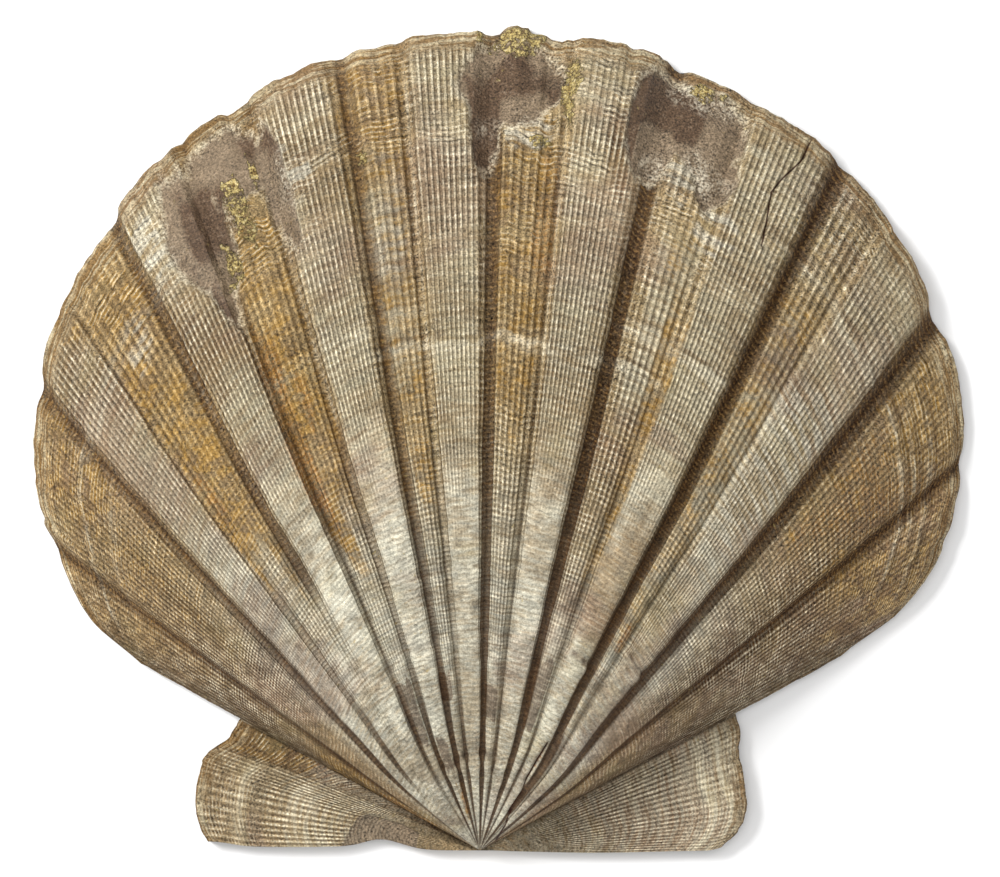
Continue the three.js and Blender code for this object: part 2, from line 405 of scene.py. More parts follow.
ZONES = {
    Tone.RUST: (
        Zone((-25.4, -22.6), (52, 84), 0.6, 0.5, 5),
        Zone((-22.0, -20.4), (66, 80), 0.5, 0.5, 4),
        Zone((5.2, 7.4), (84, 106), 0.4, 0.4, 4),
        Zone((-38.0, -36.2), (58, 68), 0.5, 0.5, 3),
        Zone((32.2, 33.8), (34, 41), 0.8, 0.4, 2),
        Zone((-63, -57.0), (7, 17), 0.7, 1.5, 2),
        Zone((45.0, 49.0), (74, 82), 0.4, 0.8, 3),
        Zone((-14.0, -11.5), (7, 10), 0.9, 0.8, 1),
        Zone((25.8, 27.6), (15.6, 17.6), 0.9, 0.4, 0.5),
        Zone((44.0, 52.0), (64, 88), 0.36, 1.0, 6.0),
    ),
    Tone.OCHRE: (
        Zone((-24.8, -18.8), (52, 118), 1.0, 0.5, 6),
        Zone((-11.6, -6.4), (52, 100), 0.5, 0.5, 8),
        Zone((-11.8, -6.2), (98, 123), 0.8, 0.5, 5),
        Zone((1.2, 6.8), (66, 110), 0.7, 0.5, 6),
        Zone((-38.2, -32.2), (52, 116), 1.0, 0.6, 6),
        Zone((-47.0, -38.0), (97, 112), 0.8, 0.8, 3),
        Zone((-52.0, -45.0), (76, 102), 0.66, 1.0, 5),
        Zone((-60.0, -44.0), (50, 92), 0.42, 2.0, 6),
        Zone((17.6, 20.8), (82, 104), 0.4, 0.6, 6),
        Zone((20.0, 22.4), (44, 84), 0.6, 0.4, 5),
        Zone((-66, -55.0), (6, 26), 1.0, 1.5, 3),
        Zone((29.0, 34.2), (30, 100), 0.45, 0.5, 6),
        Zone((43.0, 60.0), (62, 100), 0.5, 0.8, 5),
        Zone((43.0, 50.0), (84, 100), 0.7, 0.8, 4),
        Zone((-15.0, -10.5), (6, 11), 0.8, 0.8, 1),
    ),
    Tone.PALE: (
        Zone((-11.0, -6.8), (66, 100), 0.9, 0.5, 6),
        Zone((30.5, 41.0), (56, 90), 1.0, 0.8, 5.0),
        Zone((17.0, 21.0), (64, 96), 1.0, 0.6, 4.0),
    ),
    Tone.UMBER: (
        Zone((-38.0, -32.4), (82, 106), 0.5, 0.6, 5),
        Zone((-45.0, -38.2), (84, 102), 0.6, 0.8, 4),
        Zone((-32.0, -24.8), (78, 97), 0.75, 0.7, 5),
        Zone((-19.0, -11.0), (98, 112), 0.5, 0.7, 5),
        Zone((-6.0, 1.0), (54, 64), 0.4, 0.7, 4),
        Zone((7.2, 14.8), (52, 78), 0.35, 0.7, 5),
        Zone((15.5, 20.6), (34, 66), 0.5, 0.7, 5),
        Zone((21.6, 29.2), (36, 54), 0.8, 0.7, 5),
        Zone((21.6, 29.2), (90, 100), 0.3, 0.7, 4),
        Zone((34.4, 42.0), (34, 52), 0.65, 0.7, 4),
        Zone((-27.0, -22.4), (97, 107), 0.9, 0.8, 3),
        Zone((-20.5, -16.6), (107, 114), 0.8, 0.8, 3),
        Zone((-1.0, 1.4), (102, 117), 0.9, 0.5, 3),
        Zone((1.0, 7.0), (112, 118), 0.8, 0.5, 2),
        Zone((10.8, 13.4), (100, 117), 1.0, 0.5, 3),
        Zone((12.0, 18.5), (110, 118), 0.9, 0.5, 2),
    ),
    Tone.WORN: (
        Zone((-24.4, -20.0), (18, 28), 0.8, 0.5, 1.0),
        Zone((-11.5, -8.0), (23.5, 27.5), 0.85, 0.3, 0.4),
        Zone((-17.5, -13.0), (13, 19), 0.6, 0.7, 1.0),
        Zone((1.6, 5.8), (20, 25), 0.8, 0.3, 0.6),
        Zone((15.0, 20.0), (20, 31), 0.75, 0.5, 1.5),
    ),
    Tone.SCUFF: (
        Zone((33.0, 41.0), (54, 86), 0.5, 1.0, 6.0),
        Zone((-11.0, -6.8), (86, 98), 0.45, 0.6, 4.0),
        Zone((-37.0, -33.6), (86, 94), 0.5, 0.6, 3.0),
        Break(3.8, 107.0, 2.8, 2.4, 1.4, 0.4),
        Break(17.0, 104.5, 2.8, 3.6, 1.4, 0.4),
        Break(17.5, 116.5, 3.0, 2.2, 1.2, 0.4),
        Break(-15.0, 104.0, 2.0, 4.5, 1.4, 0.4),
        Break(-28.6, 103.0, 1.4, 5.0, 1.4, 0.4),
        Break(20.6, 98.0, 2.0, 4.0, 1.2, 0.4),
    ),
    Tone.BARE: (
        Break(-24.3, 100.5, 3.0, 11.0),
        Break(-20.0, 108.5, 3.4, 6.0),
        Break(-24.4, 93.0, 1.3, 9.0),
        Break(-17.0, 103.0, 1.3, 10.5),
        Break(2.4, 114.5, 3.9, 7.5, 0.3),
        Break(0.4, 109.0, 1.2, 9.0, 0.3),
        Break(13.6, 111.5, 2.5, 9.5, 0.3),
        Break(17.6, 112.0, 3.3, 7.0, 0.4),
        Break(19.3, 106.0, 1.5, 6.0, 0.4),
    ),
    Tone.CRUST: (
        Break(-20.6, 102.0, 1.6, 7.5, 1.3, 0.5),
        Break(-22.6, 94.0, 1.6, 5.0, 1.3, 0.5),
        Break(-18.6, 108.0, 0.6, 5.0, 1.3, 0.4),
        Break(3.0, 121.0, 3.4, 2.6, 1.6, 0.5),
        Break(6.9, 112.0, 0.9, 7.0, 1.6, 0.5),
        Break(16.6, 117.5, 1.4, 1.8, 1.4, 0.4),
        Break(-9.6, 104.0, 1.0, 2.0, 1.4, 0.6),
        Break(5.0, 105.5, 1.6, 1.6, 1.2, 0.5),
    ),
}


@dataclass(frozen=True)
class GrowthStop:
    """A place where growth paused: a low step with a dark line and a pale band along it.

    It follows the margin's shape. Its place is its distance out on the middle ray.
    """

    angles: tuple[float, float]
    out: float
    step: float
    pale: float
    band: float = 1.5


GROWTH_STOPS = (
    GrowthStop((-31, 12), 33.0, 0.12, 0.3),
    GrowthStop((21.5, 29), 34.4, 0.35, 0.2),
    GrowthStop((34.5, 42), 41.8, 0.3, 0.2),
    GrowthStop((-18, 14), 43.0, 0.12, 0.2),
    GrowthStop((-19, 14), 14.5, 0.22, 0.1),
    GrowthStop((6, 14.6), 13.0, 0.2, 0.1),
    GrowthStop((-12, 22), 77.0, 0.12, 0.9),
    GrowthStop((14.6, 29), 83.0, 0.12, 0.8),
    GrowthStop((-24.5, -6), 82.4, 0.1, 0.5),
    GrowthStop((25, 42), 106.3, 0.12, 0.6),
    GrowthStop((-46, -25), 108.0, 0.1, 0.7),
    GrowthStop((-32, -19), 112.8, 0.1, 0.4),
    GrowthStop((-10, 1), 106.0, 0.1, 0.5),
    GrowthStop((-19, 30), 116.5, 0.1, 0.4),
    GrowthStop((43, 57), 106.5, 0.2, 1.0, 0.7),
    GrowthStop((44, 55), 110.0, 0.15, 0.9, 0.5),
    GrowthStop((46, 59), 114.0, 0.14, 0.8, 0.6),
    GrowthStop((-58, -43), 110.0, 0.14, 0.9, 0.8),
    GrowthStop((-56, -45), 101.0, 0.1, 0.4),
)


@dataclass(frozen=True)
class Crack:
    """A crack: a line through listed (angle, distance) points."""

    path: Points

    def gap(self, x: Array, y: Array) -> Array:
        """Signed distance to the line in plan, + on its right: nearest of its straight pieces."""
        corners = [
            (d * math.sin(math.radians(a)), d * math.cos(math.radians(a))) for a, d in self.path
        ]
        best = np.full(x.shape, NO_CRACK)
        for (x0, y0), (x1, y1) in zip(corners, corners[1:]):
            run, rise = x1 - x0, y1 - y0
            length = math.hypot(run, rise)
            along = ((x - x0) * run + (y - y0) * rise) / length
            over = np.maximum(np.maximum(-along, along - length), 0)
            sideways = ((x - x0) * rise - (y - y0) * run) / length
            gap = np.where(sideways < 0, -1, 1) * np.hypot(sideways, over)
            best = np.where(np.abs(gap) < np.abs(best), gap, best)
        return best


CRACKS = (
    Crack(((25.0, 116.6), (25.0, 113.5), (24.2, 109.6), (23.8, 106.9), (24.4, 102.4), (24.8, 99.0))),
    Crack(((54, 3.0), (42, 5.8), (34.4, 8.0), (34.6, 11.2), (31.6, 12.9), (31.0, 16.3), (31.2, 19.5))),
)


@dataclass(frozen=True)
class Groove:
    """A groove beside a rib, sunk in the relief and darkened with painted shade: its own angle, its half
    width and where it starts and ends.
    """

    angle: float
    half_width: float
    strength: float
    start: float = 0.0
    end: float = 200.0

    def shade_at(self, spot: Spot) -> Array:
        """Its shade, 0..1: at least 0.14 mm to a side, and broadest a quarter of the way out."""
        spread = 1 + 0.35 * bell(spot.distance, 30, 22)
        narrowest = np.degrees(0.14 / np.maximum(spot.distance, 2))
        width = np.hypot(self.half_width * spread, narrowest)
        along = within(spot.distance, self.start, self.end, 5)
        return self.strength * bell(spot.angle, self.angle, width) * along


# Grooves beside the ribs: each one's painted shade, which also sets how deep the relief sinks it.
GROOVES = (
    Groove(-55.2, 0.9, 0.8),
    Groove(-45.0, 1.0, 0.8),
    Groove(-37.8, 0.7, 0.6, 12, 50),
    Groove(-32.0, 0.85, 0.85, 44),
    Groove(-24.2, 0.6, 0.6),
    Groove(-18.7, 0.5, 0.65),
    Groove(-10.8, 0.65, 0.8),
    Groove(-6.2, 0.45, 0.55),
    Groove(1.3, 0.65, 0.9),
    Groove(6.9, 0.45, 0.5),
    Groove(15.2, 0.95, 1.0),
    Groove(21.0, 0.45, 0.5, 0, 60),
    Groove(29.5, 0.95, 1.0),
    Groove(31.0, 1.5, 1.0, 6, 22),
    Groove(34.0, 0.5, 0.4, 0, 55),
    Groove(42.3, 1.2, 1.0),
    Groove(52.2, 0.8, 0.95),
)


# ---------------------------------------------------------------- the mesh


@dataclass(frozen=True)
class Layout:
    """A face's material slot, and the scale and lower edge of its part of the map."""

    slot: int
    scale: float
    low: float


class Face(Enum):
    """The shell's two faces. The edge belongs to the outer one."""

    OUTER = Layout(0, 0.98, 0.17)
    INNER = Layout(1, 0.17, MAP_MARGIN)

    def map(self, points: Array) -> Array:
        """Map places of points of this face: its plan, at the scale of its part of the map."""
        u = (points[..., 0] + MAP_SPAN / 2) / MAP_SPAN * self.value.scale + MAP_MARGIN
        v = (points[..., 1] + 4) / MAP_SPAN * self.value.scale + self.value.low
        return np.stack([u, v], -1)


@dataclass
class MeshParts:
    """Collects vertices, their attributes and faces with their own map corners."""

    points: list[Array] = field(default_factory=list)
    marks: dict[str, list[Array]] = field(default_factory=dict)
    corners: list[Array] = field(default_factory=list)
    maps: list[Array] = field(default_factory=list)
    sizes: list[Array] = field(default_factory=list)
    slots: list[Array] = field(default_factory=list)
    count: int = 0

    def add_points(self, points: Array, **marks: Array | float) -> Array:
        """Adds a grid of vertices with attributes.

        Args:
            points: places in millimetres, (..., 3).
            marks: attributes, as arrays of the grid's shape or one value; a missing one is 0.

        Returns:
            The vertices' numbers, in the grid's shape.
        """
        shape = points.shape[:-1]
        size = int(np.prod(shape))
        for name in sorted(set(self.marks) | set(marks)):
            earlier = self.marks.setdefault(name, [np.zeros(self.count)])
            earlier.append(np.broadcast_to(marks.get(name, 0.0), shape).reshape(-1))
        self.points.append(points.reshape(-1, 3))
        numbers = np.arange(self.count, self.count + size).reshape(shape)
        self.count += size
        return numbers

    def add_faces(self, corners: Array, places: Array, face: Face) -> None:
        """Adds faces of one size: their corners' vertices, map places and the shell's face."""
        faces, size = corners.shape
        self.corners.append(corners.reshape(-1))
        self.maps.append(places.reshape(-1, 2))
        self.sizes.append(np.full(faces, size))
        self.slots.append(np.full(faces, face.value.slot))

    def add_sheet(self, numbers: Array, points: Array, face: Face) -> None:
        """Adds the faces of a grid whose first row is one shared vertex.

        Args:
            numbers: vertex numbers, columns by rows.
            points: places of the same grid, (columns, rows, 3).
            face: which of the shell's faces they belong to: the outer one looks up.
        """
        places = face.map(points)
        left, right = slice(None, -1), slice(1, None)
        if face is Face.INNER:
            left, right = right, left

        def cells(grid: Array, near: slice, far: slice) -> tuple[Array, ...]:
            """The four corners of each cell between two rows, in order round it."""
            return grid[left, near], grid[right, near], grid[right, far], grid[left, far]

        quads = cells(numbers, slice(1, -1), slice(2, None))
        spots = cells(places, slice(1, -1), slice(2, None))
        self.add_faces(
            np.stack(quads, -1).reshape(-1, 4), np.stack(spots, -2).reshape(-1, 4, 2), face
        )
        tips = (numbers[left, 0], numbers[right, 1], numbers[left, 1])
        spots = (places[left, 0], places[right, 1], places[left, 1])
        self.add_faces(np.stack(tips, -1), np.stack(spots, -2), face)

    def mesh(self, name: str) -> bpy.types.Mesh:
        """Makes the Blender mesh, in metres, with its attributes and map."""
        made = bpy.data.meshes.new(name)
        corners = np.concatenate(self.corners)
        sizes = np.concatenate(self.sizes)
        made.vertices.add(self.count)
        made.vertices.foreach_set("co", (np.concatenate(self.points) * MM).ravel())
        made.loops.add(len(corners))
        made.loops.foreach_set("vertex_index", corners.astype(np.int32))
        made.polygons.add(len(sizes))
        starts = np.concatenate([[0], np.cumsum(sizes)[:-1]])
        made.polygons.foreach_set("loop_start", starts.astype(np.int32))
        made.update(calc_edges=True)
        made.polygons.foreach_set("material_index", np.concatenate(self.slots).astype(np.int32))
        made.polygons.foreach_set("use_smooth", np.ones(len(sizes), bool))
        layer = made.uv_layers.new(name="OFBake", do_init=False)
        layer.uv.foreach_set("vector", np.concatenate(self.maps).astype(np.float32).ravel())
        for mark, grids in self.marks.items():
            attribute = made.attributes.new(mark, "FLOAT", "POINT")
            attribute.data.foreach_set("value", np.concatenate(grids).astype(np.float32))
        return made


@dataclass
class Valve:
    """The scallop valve: one closed mesh of an outer face, an edge and an inner face."""

    plan: Plan = field(default_factory=Plan)
    riblets: int = 208
    rows: int = 168
    ear_rows: int = 120
    left_ear_riblets: int = 22
    right_ear_riblets: int = 24
    coarse: int = 4
    riblet_angle: float = 0.8
    finer_by: float = 0.26
    scale_pitch: float = 0.0155
    growth_pitch: float = 0.85
    growth_sag: float = 0.014
    riblet_rise: float = 0.07
    ear_riblet_rise: float = 0.12
    inset_share: float = 0.984
    parts: MeshParts = field(default_factory=MeshParts)

    def row_shares(self) -> Array:
        """Shares of the way out at which the rows lie; the ears end on their own last row."""
        power = math.log(self.plan.ear_reach) / math.log(self.ear_rows / self.rows)
        return (np.arange(self.rows + 1) / self.rows) ** power

    def ray_angles(self) -> Array:
        """The columns' angles, two to a riblet: riblets are finer on the ribs and the flanks."""
        left, right = self.plan.creases()
        angle = np.linspace(left, right, 4000)
        tops = sum(rib.top(angle) for rib in RIBS)
        fine = np.clip(np.maximum(tops, smoothstep(np.abs(angle), 42, 47)), 0, 1)
        count = np.cumsum(1 / (self.riblet_angle - self.finer_by * fine))
        wanted = np.linspace(count[0], count[-1], 2 * self.riblets + 1)
        return np.interp(wanted, count, angle)[:, None]

    def ear_riblets(self, side: Side) -> int:
        """The number of riblets on an ear."""
        return self.left_ear_riblets if side is Side.LEFT else self.right_ear_riblets

    def scales_out(self, distance: Array) -> Array:
        """The count of growth scales out to a distance: they widen as the shell grows."""
        return np.log(distance / 5 + 0.2) / self.scale_pitch

    # ---- the disc

    def disc(self) -> tuple[Array, dict[str, Array]]:
        """The disc's outer face.

        Returns:
            Its points, (columns, rows, 3), and its attributes.
        """
        plan = self.plan
        angle = self.ray_angles()
        share = self.row_shares()[None, :]
        spot = plan.on_disc(angle, share)
        base = np.stack([spot.x, spot.y, plan.outer_height(spot)], -1)
        marks = self.disc_marks(spot)
        relief = self.disc_relief(spot, marks)
        points = base + self.normals(base) * relief[..., None]
        points[:, 0] = base[0, 0]
        return points, marks

    @staticmethod
    def normals(points: Array) -> Array:
        """Upward normals of a grid: the cross product of its steps along columns and rows."""
        across = np.gradient(points, axis=0)
        along = np.gradient(points, axis=1)
        normal = np.cross(across, along)
        length = np.linalg.norm(normal, axis=-1, keepdims=True)
        normal = normal / np.maximum(length, 1e-9)
        return normal * np.where(normal[..., 2:] < 0, -1, 1)

    def disc_marks(self, spot: Spot) -> dict[str, Array]:
        """The strengths of every colour zone and pattern on the disc."""
        angle, distance, share = spot.angle, spot.distance, spot.share
        tops = sum(rib.top(angle) * rib.height for rib in RIBS)
        flank = smoothstep(np.abs(angle), 43, 52)
        marks = {
            tone.value: np.maximum.reduce([zone.strength_at(spot) for zone in zones])
            for tone, zones in ZONES.items()
        }
        rim = spot.reach - distance
        marks["bare"] *= smoothstep(rim, 1.0, 3.0)
        young = 1 - smoothstep(distance, 34, 70)
        wander = 14 * (noise(angle * 0.5, distance * 0.05, 5) - 0.5)
        pale = tops * (1 - 0.8 * flank) * (1 - 0.3 * smoothstep(distance, 75, 100))
        marks["pale"] = np.clip(np.maximum(marks["pale"], pale + young * (1 - 0.7 * flank)), 0, 1)
        brown = np.maximum(flank, 0.6 * (1 - smoothstep(rim, 2.0, 4.5)))
        marks["umber"] = np.maximum(marks["umber"], brown)
        # painted shade in the grooves beside the ribs, less on bare patches
        marks["groove"] = self.groove_shade_marks(spot) * (1 - 0.8 * marks["bare"])
        earlier = 18 * smoothstep(np.abs(angle), 27, 35)
        smooth = tops * (1 - smoothstep(distance + wander + earlier, 48, 72))
        smooth = np.maximum(smooth, 0.85 * (1 - smoothstep(distance + wander, 24, 42)))
        uneven = 0.55 + 0.45 * rough(angle * 0.3, distance * 0.08, 151, 2)
        matted = smoothstep(np.abs(angle), 42, 46) * (1 - smoothstep(rim, 12, 30)) * uneven
        layered = smoothstep(rough(share * 26, angle * 0.11, 161, 2), 0.5, 0.66)
        matted = np.maximum(matted, 0.7 * layered * smoothstep(distance, 78, 98))
        marks["ribletting"] = np.clip(1 - 0.95 * smooth, 0, 1) * smoothstep(distance, 4, 16)
        marks["ribletting"] *= (1 - marks["bare"]) * (1 - 0.5 * marks["crust"])
        marks["ribletting"] *= 1 - 0.75 * (1 - smoothstep(rim, 2.0, 4.0))
        marks["ribletting"] *= (1 - 0.65 * matted) * (1 - 0.25 * marks["ochre"])
        marks["beading"] = 1 - 0.35 * tops
        marks["young"] = 1 - smoothstep(distance, 46, 70)
        marks["fibre"] = np.maximum(marks["young"], matted)
        marks["shade"] = 0.75 * smoothstep(np.abs(angle), 55.5, 61)
        marks["band"] = self.growth_bands(spot)
        marks["riblet"] = np.broadcast_to(np.arange(angle.shape[0])[:, None] / 2, angle.shape)
        marks["scale"] = self.scales_out(self.grown(spot))
        marks["growth"] = self.growth_lines(spot)
        marks["rim"] = rim
        marks["fineness"] = np.clip(distance / 90, 0.05, 1.3)
        marks["crack"] = min_gap([crack.gap(spot.x, spot.y) for crack in CRACKS])
        _, marks["stop"], marks["light"] = self.stops(spot)
        return marks

    @staticmethod
    def groove_shade_marks(spot: Spot) -> Array:
        """Painted shade in the grooves beside the ribs, which also sets their depth; fainter near the beak
        on the left.
        """
        young_left = smoothstep(-spot.angle, 16, 24) * (1 - smoothstep(spot.distance, 10, 20))
        total = np.zeros(spot.angle.shape)
        for groove in GROOVES:
            total = np.maximum(total, groove.shade_at(spot))
        young = 1 - smoothstep(spot.distance, 12, 34)
        return np.clip(total * (1 - 0.45 * young_left) * (1 + 0.7 * young), 0, 1)

    def grown(self, spot: Spot) -> Array:
        """The shell's growth at each point: round the beak at first, then along the margin's shape."""
        round_part = 0.75 * (1 - smoothstep(spot.distance, 10, 74))
        return spot.share * self.plan.length * (1 - round_part) + spot.distance * round_part

    def sag(self, spot: Spot) -> Array:
        """How far growth lines sag towards the beak along each rib."""
        return self.growth_sag * spot.distance * sum(rib.bow(spot.angle) for rib in RIBS)

    def growth_lines(self, spot: Spot) -> Array:
        """A count of growth lines outwards."""
        slip = rough(spot.angle * 0.3, spot.distance * 0.3, 131, 2)
        return (self.grown(spot) + self.sag(spot)) / self.growth_pitch + 0.9 * slip

    def stops(self, spot: Spot) -> tuple[Array, Array, Array]:
        """The growth stops' steps, dark lines and pale bands."""
        sag = self.sag(spot)
        step = np.zeros(spot.angle.shape)
        line = np.zeros(spot.angle.shape)
        light = np.zeros(spot.angle.shape)
        for stop in GROWTH_STOPS:
            wander = 1.6 * (rough(spot.angle * 0.25, stop.out, 141, 3) - 0.5)
            past = spot.share * self.plan.length - stop.out - wander + sag
            across = within(spot.angle, *stop.angles, 0.8)
            step = step + stop.step * across * (bell(past + 0.9, 0, 1.0) - bell(past - 0.5, 0, 0.7))
            line = np.maximum(line, across * (stop.step / DEEPEST_STEP) * bell(past - 0.2, 0, 0.25))
            light = np.maximum(light, across * stop.pale * bell(past + 1.3, 0, stop.band))
        return step, line, light

    def growth_bands(self, spot: Spot) -> Array:
        """Lighter and darker bands along the margin's shape, about -1..1, uneven round the disc."""
        wander = 0.02 * rough(spot.angle * 0.12, 7.5, 71, 2)
        out = (spot.share + wander) * self.plan.length
        broad = rough(out * 0.12, spot.angle * 0.09, 73, 2)
        narrow = rough(out * 0.7, spot.angle * 0.16, 79, 2)
        return np.clip(2.4 * (0.5 * broad + 0.5 * narrow - 0.5), -1, 1)

    def disc_relief(self, spot: Spot, marks: dict[str, Array]) -> Array:
        """Fine relief along the normal, in millimetres.

        It adds riblets (odd columns down, even ones up), growth lines, the steep V of each groove,
        broken patches with a sunken floor, crusts, cracks and a slight unevenness all over.
        """
        plan = self.plan
        angle, distance = spot.angle, spot.distance
        pitch = distance * np.radians(2 * np.gradient(angle[:, :1], axis=0))
        up_down = np.where(np.arange(angle.shape[0]) % 2 == 0, 1.0, -1.0)[:, None]
        uneven_height = 0.55 + 0.9 * noise(angle * 2.1, distance * 0.12, 9)
        riblets = self.riblet_rise * pitch * up_down * marks["ribletting"] * uneven_height
        lines = 0.13 * marks["band"] * smoothstep(distance, 6, 40) + self.stops(spot)[0]
        # the grooves' depth follows their painted-shade mark
        grooves = -0.42 * plan.rib_rise(distance) * marks["groove"]
        floor = -0.7 - 0.3 * rough(angle * 0.5, distance * 0.08, 83, 2)
        broken = marks["bare"] * floor - 0.12 * marks["worn"]
        lumps = marks["crust"] * (-0.1 + 1.1 * rough(angle * 2.6, distance * 0.9, 89, 2) ** 2)
        cracks = -0.45 * bell(marks["crack"], 0, 0.3)
        uneven = 0.4 * (rough(spot.x * 0.09, spot.y * 0.09, 97, 3) - 0.5)
        edge = 1 - smoothstep(marks["rim"], 0.5, 4.0)
        flake = edge * (0.5 * rough(angle * 0.35, marks["rim"] * 1.1, 101, 2) - 0.55)
        sink = smoothstep(distance, 2, 12)
        return riblets + (lines + grooves + broken + lumps + cracks + uneven + flake) * sink

    # ---- the ears

    def ear(self, side: Side, crease: Array) -> tuple[Array, dict[str, Array]]:
        """An ear's outer face, from the column next to the crease to the hinge line.

        Args:
            side: which ear.
            crease: the disc's crease column of points, which the ear's surface starts from.

        Returns:
            Its points, (columns, rows, 3), and its attributes.
        """
        plan = self.plan
        riblets = self.ear_riblets(side)
        across = (np.arange(1, 2 * riblets + 1) / (2 * riblets))[:, None]
        share = self.row_shares()[None, : self.ear_rows + 1]
        out = share / plan.ear_reach
        edge_x, edge_y = plan.ear_edge(side, across)
        ragged = 1.1 * (rough(across * 7, side.value, 41, 4) - 0.5) * out**12
        x, y = (edge_x + side.value * ragged) * out, edge_y * out
        y = y + self.hinge_wander(x) * across**3
        distance = np.hypot(x, y)
        notch, worn, strength = self.ear_wear(side, across, out, distance)
        bands = self.ear_bands(side, out, across)
        thickness = plan.edge_thickness + (plan.hinge_thickness - plan.edge_thickness) * across
        beak = (plan.hinge_thickness - thickness) * (1 - share) ** 8
        swell = plan.ear_swell * np.sin(np.pi * across) * out
        wave = 0.25 * out * np.sin(7 * out + 2 * across) * np.sin(np.pi * across)
        pitch = distance * math.radians(30 / riblets)
        up_down = np.where(np.arange(across.shape[0]) % 2 == 0, -1.0, 1.0)[:, None]
        relief = self.ear_riblet_rise * pitch * up_down * strength + 0.15 * bands * out
        relief = relief - 0.9 * notch * out * np.sin(np.pi * np.clip(across * 3, 0, 1))
        z = thickness + beak + swell + wave + relief - 0.5 * worn
        marks = self.ear_marks(side, across, out, bands)
        marks["pale"] = marks["pale"] * (1 - notch)
        # On the right ear the shade mark is painted shade beside the crease, under the disc's flank; on the
        # left ear it follows the notch.
        shade = notch if side is Side.LEFT else 0.5 * (1 - smoothstep(across, 0.0, 0.16))
        # the painted shade is added to the ear's brown tone too
        marks["umber"] = np.clip(marks["umber"] + 0.6 * shade, 0, 1)
        marks |= {"shade": shade, "worn": worn, "ribletting": strength}
        marks["riblet"] = np.arange(1, 2 * riblets + 1)[:, None] / 2
        marks["ochre"] = 0.45 * notch * smoothstep(out, 0.35, 0.8)
        marks["fibre"] = np.clip(notch + smoothstep(out, 0.74, 0.84), 0, 1) * (1 - worn)
        points = np.stack([x, y, z], -1)
        points[:, 0] = crease[0]
        return points, {n: np.broadcast_to(mark, distance.shape) for n, mark in marks.items()}

    @staticmethod
    def ear_marks(side: Side, across: Array, out: Array, bands: Array) -> dict[str, Array | float]:
        """The colours and patterns of an ear that don't depend on its wear."""
        tint = smoothstep(bands, 0.05, 0.75)
        if side is Side.RIGHT:
            sweep = 0.1 * (1 - across)
            inner = 0.6 * (1 - smoothstep(out, 0.3, 0.6))
            outer, chalky, light = 0.0, 0.75, 0.58
        else:
            sweep = 0.3 * (1 - across) ** 2
            inner = 0.3 * (1 - smoothstep(out, 0.2, 0.35))
            outer, chalky = 0.3 * smoothstep(out, 0.82, 0.92), 0.45
            light = 0.45 * within(out, 0.28, 0.7, 0.08)
        return {
            "pale": np.clip(chalky + 0.3 * tint - 0.3 * inner, 0, 1),
            "light": light,
            "umber": 0.38 + 0.3 * inner + outer - 0.2 * tint,
            "young": 0.35,
            "beading": 0.2,
            "scale": (out + sweep * (1 - out)) * 70,
            "growth": (out + sweep * (1 - out)) * 80,
            "band": bands,
            "rim": (1 - out) * 50 + 1.2,
            "fineness": 0.75,
            "crack": NO_CRACK,
            # painted shade along the crease, under the disc's flank
            "groove": 0.7 * (1 - smoothstep(across, 0.0, 0.09)),
        }

    @staticmethod
    def hinge_wander(x: Array) -> Array:
        """How far the hinge line strays from straight, outwards being down (-)."""
        left = 1.6 * bell(x, -14.8, 4.4) + 0.5 * smoothstep(-x, 17, 23) + 0.8 * bell(x, -40, 4)
        right = 0.9 * bell(x, 37.5, 2.0) - 0.35 * bell(x, 17, 12)
        return (left + right) * smoothstep(np.abs(x), 1, 5)

    @staticmethod
    def ear_wear(side: Side, across: Array, out: Array, distance: Array) -> tuple[Array, ...]:
        """The left ear's smooth notch sweep and worn patch, and the riblets' strength."""
        strength = smoothstep(across, 0.02, 0.12) * smoothstep(distance, 3, 10)
        fade = 1 - 0.35 * smoothstep(out, 0.72, 0.8)
        if side is Side.RIGHT:
            return 0 * distance, 0 * distance, strength * fade
        start = 0.13 + 0.17 * out
        notch = 1 - smoothstep(across, start - 0.04, start + 0.05)
        ragged = 0.25 * (rough(across * 6, distance * 0.4, 47, 3) - 0.5)
        worn = within(distance, 9.5, 20.5 - 5 * (1 - across), 1.2) * smoothstep(across + ragged, 0.5, 0.62)
        return notch, worn, strength * (1 - notch) * (1 - worn) * fade

    def ear_bands(self, side: Side, out: Array, across: Array) -> Array:
        """Growth bands parallel to an ear's outer edge, about -1..1."""
        curve = out + 0.02 * np.sin(5 * across + side.value)
        fine = rough(curve * 34, across * 1.6, 61 + side.value, 2) * 2 - 1
        if side is Side.LEFT:
            strong = 0.8 * bell(curve, 0.63, 0.08) - 1.0 * bell(curve, 0.8, 0.035) + bell(curve, 0.86, 0.025)
            strong = strong * smoothstep(across, 0.3, 0.45)
        else:
            short = 0.6 * bell(curve, 0.63, 0.012) * smoothstep(across, 0.4, 0.6)
            strong = bell(curve, 0.86, 0.018) + 0.9 * bell(curve, 0.93, 0.014) + short
        return np.clip(0.6 * fine + strong - 0.15, -1, 1)

    # ---- putting it together

    def add_grid(self, points: Array, beak: int, marks: dict[str, Array]) -> Array:
        """Adds a grid of vertices whose first row is the beak.

        Args:
            points: the grid's places.
            beak: the beak's vertex number.
            marks: the grid's attributes.

        Returns:
            The grid's vertex numbers.
        """
        numbers = np.full(points.shape[:2], beak)
        beyond = {name: mark[:, 1:] for name, mark in marks.items()}
        numbers[:, 1:] = self.parts.add_points(points[:, 1:], **beyond)
        return numbers

